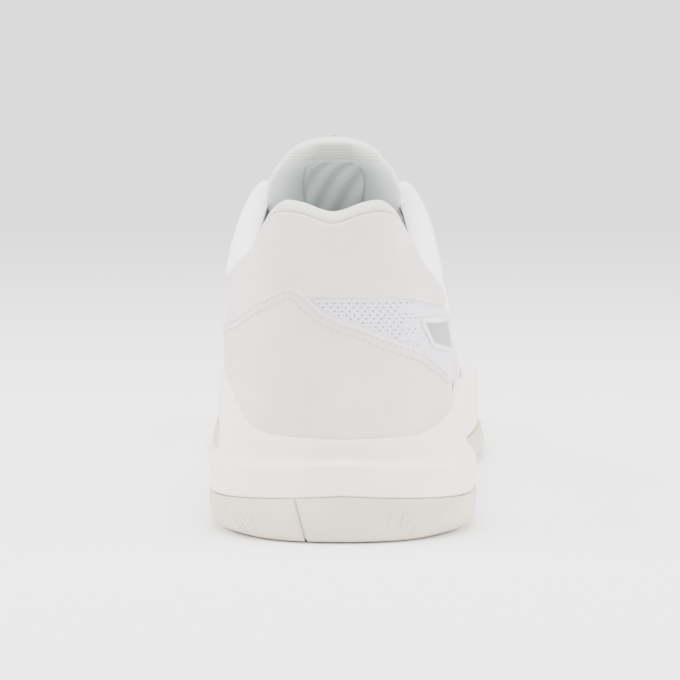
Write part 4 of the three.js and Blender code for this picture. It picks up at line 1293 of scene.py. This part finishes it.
# tongue
tongueHeight = through([(0, 60), (0.2, 68.6), (0.4, 81.5), (0.58, 94.2), (0.7, 102.4),
                        (0.8, 109.2), (0.9, 115.8), (0.96, 119.6), (1, 121.3)])
tongueAlong = through([(0, 193), (0.2, 179.5), (0.4, 159), (0.58, 138.5), (0.7, 126.5),
                       (0.8, 120), (0.9, 116.6), (1, 115.4)])
tongueHalf = through([(0, 10), (0.2, 15), (0.58, 18), (0.66, 20.2), (0.73, 22.6), (0.8, 22.9),
                      (0.86, 20.4), (0.92, 15.6), (0.96, 11), (0.985, 7), (1, 2.4)])
tongueArch = through([(0, 1.5), (0.2, 4), (0.58, 6.5), (0.8, 7), (1, 1.2)])
tongueFull = through([(0, 2.6), (0.3, 4), (0.6, 7), (0.9, 7.4), (0.96, 6.4), (0.985, 4.2),
                      (1, 0.4)])


def tonguePoint(t, across, depth):
    t, across, depth = np.broadcast_arrays(t, across, depth)
    step = 0.01
    front = np.minimum(t + step, 1)
    back = np.maximum(t - step, 0)
    riseY = tongueAlong(front) - tongueAlong(back)
    riseZ = tongueHeight(front) - tongueHeight(back)
    size = np.hypot(riseY, riseZ)
    riseY, riseZ = riseY / size, riseZ / size
    lean = -2.4 - 0.4 * t
    sink = tongueArch(t) * across ** 2 + depth
    return np.stack([lean + tongueHalf(t) * across, tongueAlong(t) - riseZ * sink,
                     tongueHeight(t) + riseY * sink], -1)


def makeTongue():
    stations = np.unique(np.concatenate([np.linspace(0, 0.9, 70), 0.9 + 0.1 * np.sin(
        np.linspace(0, math.pi / 2, 26))]))
    angle = np.linspace(0, 2 * math.pi, 72, endpoint=False)
    across = np.sign(np.cos(angle)) * np.abs(np.cos(angle)) ** 0.8
    share = 0.5 + 0.5 * np.sign(np.sin(angle)) * np.abs(np.sin(angle)) ** 0.7
    inward = smoothStep(share, 0.55, 0.8)
    loops, uv, painted_shade = [], [], []
    length = 0
    for i, t in enumerate(stations):
        full = tongueFull(t)
        edgeRoll = smoothStep(np.abs(across), 0.45, 0.8)
        topRoll = smoothStep(t, 0.84, 0.92)
        roll = np.maximum(edgeRoll, topRoll) * smoothStep(t, 0.5, 0.7)
        bulk = full * (1 + inward * (0.3 * roll - 0.12 * (1 - roll)))
        loops.append(tonguePoint(t, across, full / 2 + (share - 0.5) * bulk))
        if i:
            length += np.linalg.norm(loops[i] - loops[i - 1], axis=-1).mean()
        uv.append(np.stack([tongueHalf(t) * across, np.full(across.shape, length)], -1))
        # painted shade on the tongue's inner face: the middle under the rolled top, and the lining
        # between the rolled edges
        middle = 1 - smoothStep(np.abs(across), 0.3, 0.85)
        tipShade = 0.75 * middle * topRoll * (1 - smoothStep(t, 0.95, 0.99))
        painted_shade.append(inward * (tipShade + (1 - smoothStep(np.abs(across), 0.55, 0.95))
                              * (1 - topRoll) * smoothStep(t, 0.3, 0.5)))
    piece = loftObject("tongue_padded", loops, materials["tongueMesh"],
                       uv=np.array(uv).reshape(-1, 2), painted_shade=np.array(painted_shade),
                       others=(materials["liningKnit"],),
                       slotOf=lambda i, j: int(inward[j] > 0.5 and stations[i] < 0.9))
    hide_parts("tongue_base", "tongue_top")
    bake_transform(piece)


label = {"low": 0.5, "high": 0.895, "half": 0.46, "notch": 0.16}


def makeTongueLabel():
    # woven label on the inner face, its two top corners folded in
    t = np.linspace(label["low"], label["high"], 34)
    across = np.linspace(-1, 1, 23)
    corner = label["notch"] * smoothStep(t, label["high"] - 0.03, label["high"])
    waist = 0.05 * smoothStep(label["high"] - t, 0.03, 0.2)
    half = (label["half"] - corner - waist)[:, None]
    grid = half * across[None]
    along = t[:, None] + 0 * grid
    full = tongueFull(t)[:, None] + 0 * grid
    front = tonguePoint(along, grid, full * 1.07)
    back = tonguePoint(along, grid, full * 0.8)
    piece = shellObject("tongue_label", front, back, materials["label"])
    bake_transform(piece)


makeTongue()
makeTongueLabel()
print("tongue made")

# lace: one flat cord in straight bars, its ends tucked inside
lace = {"wide": 2.9, "thick": 0.85, "turn": 2.8, "over": 2.95, "under": -3.5}


def laceRoute():
    stations = eyelets["stations"]
    last = len(stations) - 1
    route, up = [], []

    def push(side, s, v, lift):
        u = np.array([side * s])
        route.append(skin(u, np.array([v]), np.array([lift]))[0])
        up.append(skinNormal(u, np.array([v]))[0])

    def pushPoint(point, normal):
        route.append(point)
        up.append(normal)

    for row, s in enumerate(stations):
        entry = -1 if row % 2 == 0 else 1
        if row == 0:
            push(entry, 0.55, 0.82, lace["under"] - 2)
            push(entry, 0.532, 0.875, lace["under"] - 2)
        else:
            push(entry, s + 0.15 * (stations[row - 1] - s), eyelets["v"], lace["under"])
        for side in (entry, -entry):
            u, v = np.array([side * s]), np.array([eyelets["v"]])
            hole = skin(u, v, np.array([1.0]))[0]
            edge = topEdge(u)[0]
            n = skinNormal(u, v)[0]
            inward = unitVector(edge - hole)
            over = hole + n * (lace["over"] - 1) + inward * lace["turn"]
            rim = edge + n * lace["over"]
            if side == entry:
                push(side, s, eyelets["v"], -shoe["shell"])
                pushPoint(hole, n)
                pushPoint(over, n)
                pushPoint(rim, n)
                middle = topEdge(np.array([s]))[0]
                crown = np.array([float(topLean(s)), middle[1] + 2, middle[2] + 5.4])
                pushPoint(crown, unitVector(np.array([0, 0.5, 0.87])))
            else:
                pushPoint(rim, n)
                pushPoint(over, n)
                pushPoint(hole, n)
                push(side, s, eyelets["v"], -shoe["shell"])
        if row == last:
            push(-entry, 0.64, 0.84, lace["under"])
            push(-entry, 0.615, 0.8, lace["under"])
        else:
            push(-entry, s + 0.15 * (stations[row + 1] - s), eyelets["v"], lace["under"])
    return np.array(route), np.array(up)


def smoothPath(points, extra, steps):
    # Catmull-Rom through the points, with a second list carried along
    out, carried = [], []
    for i in range(len(points) - 1):
        p0 = points[max(i - 1, 0)]
        p1, p2 = points[i], points[i + 1]
        p3 = points[min(i + 2, len(points) - 1)]
        for t in np.linspace(0, 1, steps, endpoint=False):
            out.append(0.5 * (2 * p1 + (p2 - p0) * t + (2 * p0 - 5 * p1 + 4 * p2 - p3) * t ** 2
                              + (3 * p1 - p0 - 3 * p2 + p3) * t ** 3))
            carried.append(extra[i] * (1 - t) + extra[i + 1] * t)
    out.append(points[-1])
    carried.append(extra[-1])
    return np.array(out), unitVector(np.array(carried))


def makeLace():
    route, up = laceRoute()
    path, normal = smoothPath(route, up, 9)
    along = unitVector(np.gradient(path, axis=0))
    side = unitVector(np.cross(along, normal))
    lift = unitVector(np.cross(side, along))
    angle = np.linspace(0, 2 * math.pi, 16, endpoint=False)
    # the cord is gathered where it passes through a hole
    holeU, holeV = eyeletPlaces()
    holes = skin(holeU, holeV, np.zeros(holeU.shape))
    near = np.linalg.norm(path[:, None] - holes[None], axis=-1).min(1)
    squeeze = 0.5 + 0.5 * smoothStep(near, 1.5, 6.0)
    wide = lace["wide"] * squeeze
    thick = lace["thick"] * (1 + 0.9 * (1 - squeeze))
    loops = (path[:, None] + side[:, None] * (wide[:, None] * np.sign(np.cos(angle))
             * np.abs(np.cos(angle)) ** 0.7)[..., None]
             + lift[:, None] * (thick[:, None] * np.sin(angle))[..., None])
    piece = loftObject("lace_flat", loops, materials["laceWeave"])
    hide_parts("lace")
    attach(piece, "rear_shoe")


makeLace()
print("lace made")

# midsole
midsole = {"stations": 220}


def wallOffset(u, z):
    s = np.abs(u)
    p = skinPoint(u, heightToV(u, np.maximum(z, bedHeight(s))))
    x, y = outline(u)
    nx, ny = outward(u)
    return (p[..., 0] - x) * nx + (p[..., 1] - y) * ny + 0.2


def midsoleProfile(u):
    s = np.abs(u)
    low = bottomRise(s) + 4.35
    seam = outsoleTop(s) + 0.1
    top = wallTop(u)
    bed = bedHeight(s) - 2.1
    ridge = np.minimum(seam + 9.6, top - 6)
    waist = 1 - smoothStep(s, 0.08, 0.24)
    inset = wallInset(s) - heelFlare(s)
    face = -wallInset(s) - 1.4 + 0.8 * smoothStep(s, 0.45, 0.6) - 1.9 * waist
    edge = wallOffset(u, top)
    points = [(-17 + 0 * s, low + 0.2), (-13 + 0 * s, low + 1.8), (-inset - 1.2, seam),
              (-inset - 0.4, seam + 0.2), (-inset - 0.15, seam + 0.9),
              (-inset, (seam + ridge) / 2), (-inset + 0.3, ridge - 1.2),
              (-inset + 0.35, ridge - 0.3),
              (-inset + 0.1, ridge + 0.1), (-inset - 0.9, ridge + 0.35),
              (face + 0.1 - 0.5 * waist, ridge + 1.3),
              (face - 0.9 * waist, ridge + 0.4 * (top - ridge)),
              (face - 0.3 * waist, ridge + 0.7 * (top - ridge)), (face, top - 1.6),
              (face - 0.15, top - 0.6), ((face + edge) / 2, top), (edge + 0.3, top - 0.3),
              (edge - 0.2, top - 2), (wallOffset(u, (top + bed) / 2), (top + bed) / 2),
              (wallOffset(u, bed + 1), bed), (-17 + 0 * s, bed)]
    return points


def soleObject(name, profile, stations, material):
    # a profile carried round the outline from the heel along both sides to the toe
    s = np.linspace(0, 1, stations + 1)
    right = [atOffset(s, o, z) for o, z in profile(s)]
    leftU = -np.maximum(s, 1e-9)
    left = [atOffset(leftU, o, z) for o, z in profile(leftU)]
    right = np.stack(right, 1)
    left = np.stack(left, 1)
    left[0], left[-1] = right[0], right[-1]
    loops = np.concatenate([right, left[:, ::-1]], 1)
    return loftObject(name, loops, material, capped=False)


def subdivide(piece):
    # rounds a piece by one level and keeps the result as its mesh
    modifier = piece.modifiers.new("smooth", "SUBSURF")
    modifier.levels = 1
    modifier.render_levels = 1
    bpy.context.view_layer.update()
    graph = bpy.context.evaluated_depsgraph_get()
    mesh = bpy.data.meshes.new_from_object(piece.evaluated_get(graph))
    piece.modifiers.clear()
    piece.data = mesh


def makeMidsole():
    piece = soleObject("midsole_foam_cup", midsoleProfile, midsole["stations"],
                       materials["foam"])
    subdivide(piece)
    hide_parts("midsole_rear", "midsole_forefoot")
    bendWithToe(piece)


makeMidsole()
print("midsole made")

# outsole
outsole = {"stations": 220, "groove": -12.5, "grooveHalf": 0.4, "lean": 0.26, "web": 1.6,
           "heelEnd": 96, "ballStart": 132, "recess": 1.4, "sideRound": 1.8}


def outsoleProfile(u):
    # crisp behind the heel, rounder at its sides, with a low lip under the forefoot
    s = np.abs(u)
    low = bottomRise(s) + 0.05
    top = outsoleTop(s)
    flare = heelFlare(s)
    forward = smoothStep(s, 0.34, 0.52)
    corner = 1 + outsole["sideRound"] * smoothStep(s, 0.06, 0.16)
    recess = outsole["recess"]

    def blend(heel, forefoot):
        return heel + (forefoot - heel) * forward

    none = 0 * s
    return [(none - 15, low + recess), (none - 14.2, low + recess), (none - 13.9, low + 0.2),
            (none - 13.5, low), (blend(-3.2 * corner, -10) + flare, low),
            (blend(-2 * corner, -8) + flare, low + 0.1),
            (blend(-1.3 * corner, -5) + flare, low + 0.6),
            (blend(-0.8 * corner, -3) + flare, low + 1.5),
            (blend(-0.45 * corner, -1.4) + flare, low + 2.6),
            (blend(-0.2 * corner, -0.3) + flare, low + 3.8),
            (blend(-0.05, -0.3) + flare, blend(top - 4, low + 5.2)),
            (blend(0, -0.8) + flare, blend(top - 1.4, low + 6.8)),
            (blend(-0.15, -1.5) + flare, top - 0.4), (blend(-0.7, -2) + flare, top),
            (none - 13, low + 5.2), (none - 17, low + 4)]


def cutPiece(piece, planes):
    # keeps the side of each plane that its normal points away from
    work = bmesh.new()
    work.from_mesh(piece.data)
    for place, normal in planes:
        geometry = work.verts[:] + work.edges[:] + work.faces[:]
        cut = bmesh.ops.bisect_plane(work, geom=geometry, plane_co=toFrame(place),
                                     plane_no=normal, clear_outer=True)
        edges = [e for e in cut["geom_cut"] if isinstance(e, bmesh.types.BMEdge)]
        if edges:
            bmesh.ops.contextual_create(work, geom=edges)
    bmesh.ops.triangulate(work, faces=[f for f in work.faces if len(f.verts) > 4])
    work.to_mesh(piece.data)
    work.free()
    piece.data.update()
    return piece


def groovePlane(shift, side):
    # the groove leans: it runs outward as it goes down
    return (outsole["groove"] + shift, 0, 7), (side, 0, side * outsole["lean"])


def makeOutsole():
    half = outsole["grooveHalf"]
    heelEnd = ((0, outsole["heelEnd"], 0), (0, 1, 0))
    ballStart = ((0, outsole["ballStart"], 0), (0, -1, 0))
    parts = [("outsole_heel_lateral_rubber", [groovePlane(half, -1), heelEnd],
              ["outsole_heel_lateral"], "rear_shoe"),
             ("outsole_heel_medial_rubber", [groovePlane(-half, 1), heelEnd],
              ["outsole_heel_medial"], "rear_shoe"),
             ("outsole_forefoot_rubber", [ballStart], ["outsole_ball", "outsole_toe"], None)]
    for name, planes, nodes, body in parts:
        piece = soleObject(name, outsoleProfile, outsole["stations"], materials["rubber"])
        cutPiece(piece, planes)
        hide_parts(*nodes)
        if body:
            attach(piece, body)
        else:
            bendWithToe(piece)


def grooveFloorProfile(u):
    return [(o - 0.9, z + 0.4) for o, z in outsoleProfile(u)]


def makeGrooveFloor():
    # the thin web of rubber that shows at the bottom of the groove
    piece = soleObject("outsole_groove_web", grooveFloorProfile, outsole["stations"],
                       materials["rubber"])
    web = outsole["web"]
    cutPiece(piece, [groovePlane(-web, -1), groovePlane(web, 1),
                     ((0, outsole["heelEnd"] - 1, 0), (0, 1, 0))])
    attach(piece, "rear_shoe")


ribs = {"lines": [((-0.142, 6.6), (-0.124, 1.6)), ((-0.136, 7.8), (-0.116, 1.5)),
                  ((-0.128, 8.4), (-0.107, 1.5)), ((-0.12, 8.8), (-0.1, 2.2)),
                  ((-0.11, 8.6), (-0.103, 6)), ((0.058, 8.8), (0.052, 4.6)),
                  ((0.072, 8.6), (0.066, 4)), ((0.086, 4.4), (0.078, 1.6))],
        "radius": 0.5, "sink": 0.02}


def rubberFace(u, z):
    # how far the rubber's outer face lies from the outline at each u and height
    face = outsoleProfile(u)[4:12]
    offsets = np.array([o + 0 * u for o, h in face])
    heights = np.array([h + 0 * u for o, h in face])
    return np.array([np.interp(z[i], heights[:, i], offsets[:, i]) for i in range(len(u))])


def makeRibs():
    # low raised ribs moulded on the rubber behind the heel
    angle = np.linspace(0, 2 * math.pi, 10, endpoint=False)
    pieces = []
    for (uFrom, zFrom), (uTo, zTo) in ribs["lines"]:
        share = np.linspace(0, 1, 16)
        u = uFrom + (uTo - uFrom) * share
        z = zFrom + (zTo - zFrom) * share
        centre = atOffset(u, rubberFace(u, z) - ribs["sink"], z)
        nx, ny = outward(u)
        n = np.stack([nx, ny, 0 * nx], -1)
        along = unitVector(np.gradient(centre, axis=0))
        across = unitVector(np.cross(n, along))
        size = ribs["radius"] * np.sqrt(np.clip(1 - (2 * share - 1) ** 4, 0.02, 1))
        loops = [c + size[i] * (across[i] * np.cos(angle)[:, None]
                                + n[i] * np.sin(angle)[:, None]) for i, c in enumerate(centre)]
        pieces.append(loftObject("rib", loops, materials["rubber"]))
    joined = bmesh.new()
    for piece in pieces:
        joined.from_mesh(piece.data)
        bpy.data.objects.remove(piece)
    mesh = bpy.data.meshes.new("outsole_ribs")
    joined.to_mesh(mesh)
    joined.free()
    mesh.materials.append(materials["rubber"])
    piece = bpy.data.objects.new("outsole_ribs", mesh)
    bpy.context.scene.collection.objects.link(piece)
    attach(piece, "rear_shoe")


lugs = {"length": 7.0, "wide": 1.3, "high": 1.25, "pitch": 4.2, "columns": 9, "rows": 80,
        "start": 8, "rim": 18.5, "from": 20, "to": 276, "besideGroove": 4.4, "besideField": 3}


def lugShape():
    # one leg pair of a herringbone rib, standing down from the sole
    half, wide, high = lugs["length"] / 2, lugs["wide"] / 2, lugs["high"]
    line = [(-half, -0.45 * half), (0, 0.45 * half), (half, -0.45 * half)]
    points, faces = [], []
    for x, y in line:
        for dy, dz, grow in ((-wide, 0, 1.15), (-wide, high, 0.8), (wide, high, 0.8),
                             (wide, 0, 1.15)):
            points.append((x, y + dy * grow, dz))
    for i in range(2):
        a = 4 * i
        for j in range(4):
            k = (j + 1) % 4
            faces.append((a + j, a + k, a + 4 + k, a + 4 + j))
    faces.append((3, 2, 1, 0))
    faces.append((8, 9, 10, 11))
    mesh = bpy.data.meshes.new("lug")
    mesh.from_pydata([tuple(np.array(p) * mm) for p in points], [], faces)
    return bpy.data.objects.new("lug", mesh)


def makeLugs():
    groups = {"heel": [], "forefoot": []}
    heelEnd, ballStart = outsole["heelEnd"], outsole["ballStart"]
    for column in range(-lugs["columns"], lugs["columns"] + 1):
        x = column * lugs["length"]
        for row in range(lugs["rows"]):
            y = lugs["start"] + row * lugs["pitch"]
            s = math.acos(max(min(1 - 2 * y / shoe["length"], 1), -1)) / math.pi
            if x > lateralWidth(s) - lugs["rim"] or x < -medialWidth(s) + lugs["rim"]:
                continue
            if y < lugs["from"] or y > lugs["to"]:
                continue
            if abs(x - outsole["groove"]) < lugs["besideGroove"] and y < heelEnd:
                continue
            if heelEnd - lugs["besideField"] < y < ballStart + lugs["besideField"]:
                continue
            place = (x, y, float(bottomRise(s)) + outsole["recess"] + 0.1)
            groups["heel" if y < heelEnd else "forefoot"].append(place)
    for name, points in groups.items():
        points = np.array(points)
        facing = np.tile([0, 0, -1.0], (len(points), 1))
        heading = np.tile([1.0, 0, 0], (len(points), 1))
        piece = copiesAt(f"tread_{name}", lugShape(), points, facing, heading,
                         materials["rubber"])
        if name == "heel":
            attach(piece, "rear_shoe")
        else:
            bendWithToe(piece)


makeOutsole()
makeGrooveFloor()
makeRibs()
makeLugs()
print("outsole made")

# sockliner
sock = {"stations": 120, "thick": 4.2, "edge": 4.4}


def sockProfile(u):
    s = np.abs(u)
    z = bedHeight(s)
    edge = -footInset(s) - sock["edge"]
    thick = sock["thick"]
    return [(-19 + 0 * s, z + 0.1), (edge, z + 0.1), (edge + 0.5, z + 2),
            (edge + 0.1, z + thick - 0.3), (edge - 1.2, z + thick + 0.2), (edge - 4, z + thick),
            (-19 + 0 * s, z + thick - 0.1)]


def makeSock():
    piece = soleObject("sockliner_knit", sockProfile, sock["stations"], materials["sockKnit"])
    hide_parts("sockliner_rear", "sockliner_front")
    bendWithToe(piece)


makeSock()

# CAD pieces that stay: inner parts and lace tips
keptFinishes = {"heel_cushion_insert": "plate", "ball_cushion_insert": "plate",
                "midfoot_shank": "plate", "lasting_board_rear": "board",
                "lasting_board_front": "board", "toe_puff": "board", "heel_counter": "board",
                "aglet_start": "plate", "aglet_end": "plate"}
for nodeName, finishName in keptFinishes.items():
    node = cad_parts[nodeName]
    node.data.materials.clear()
    node.data.materials.append(materials[finishName])
print("inner parts finished")
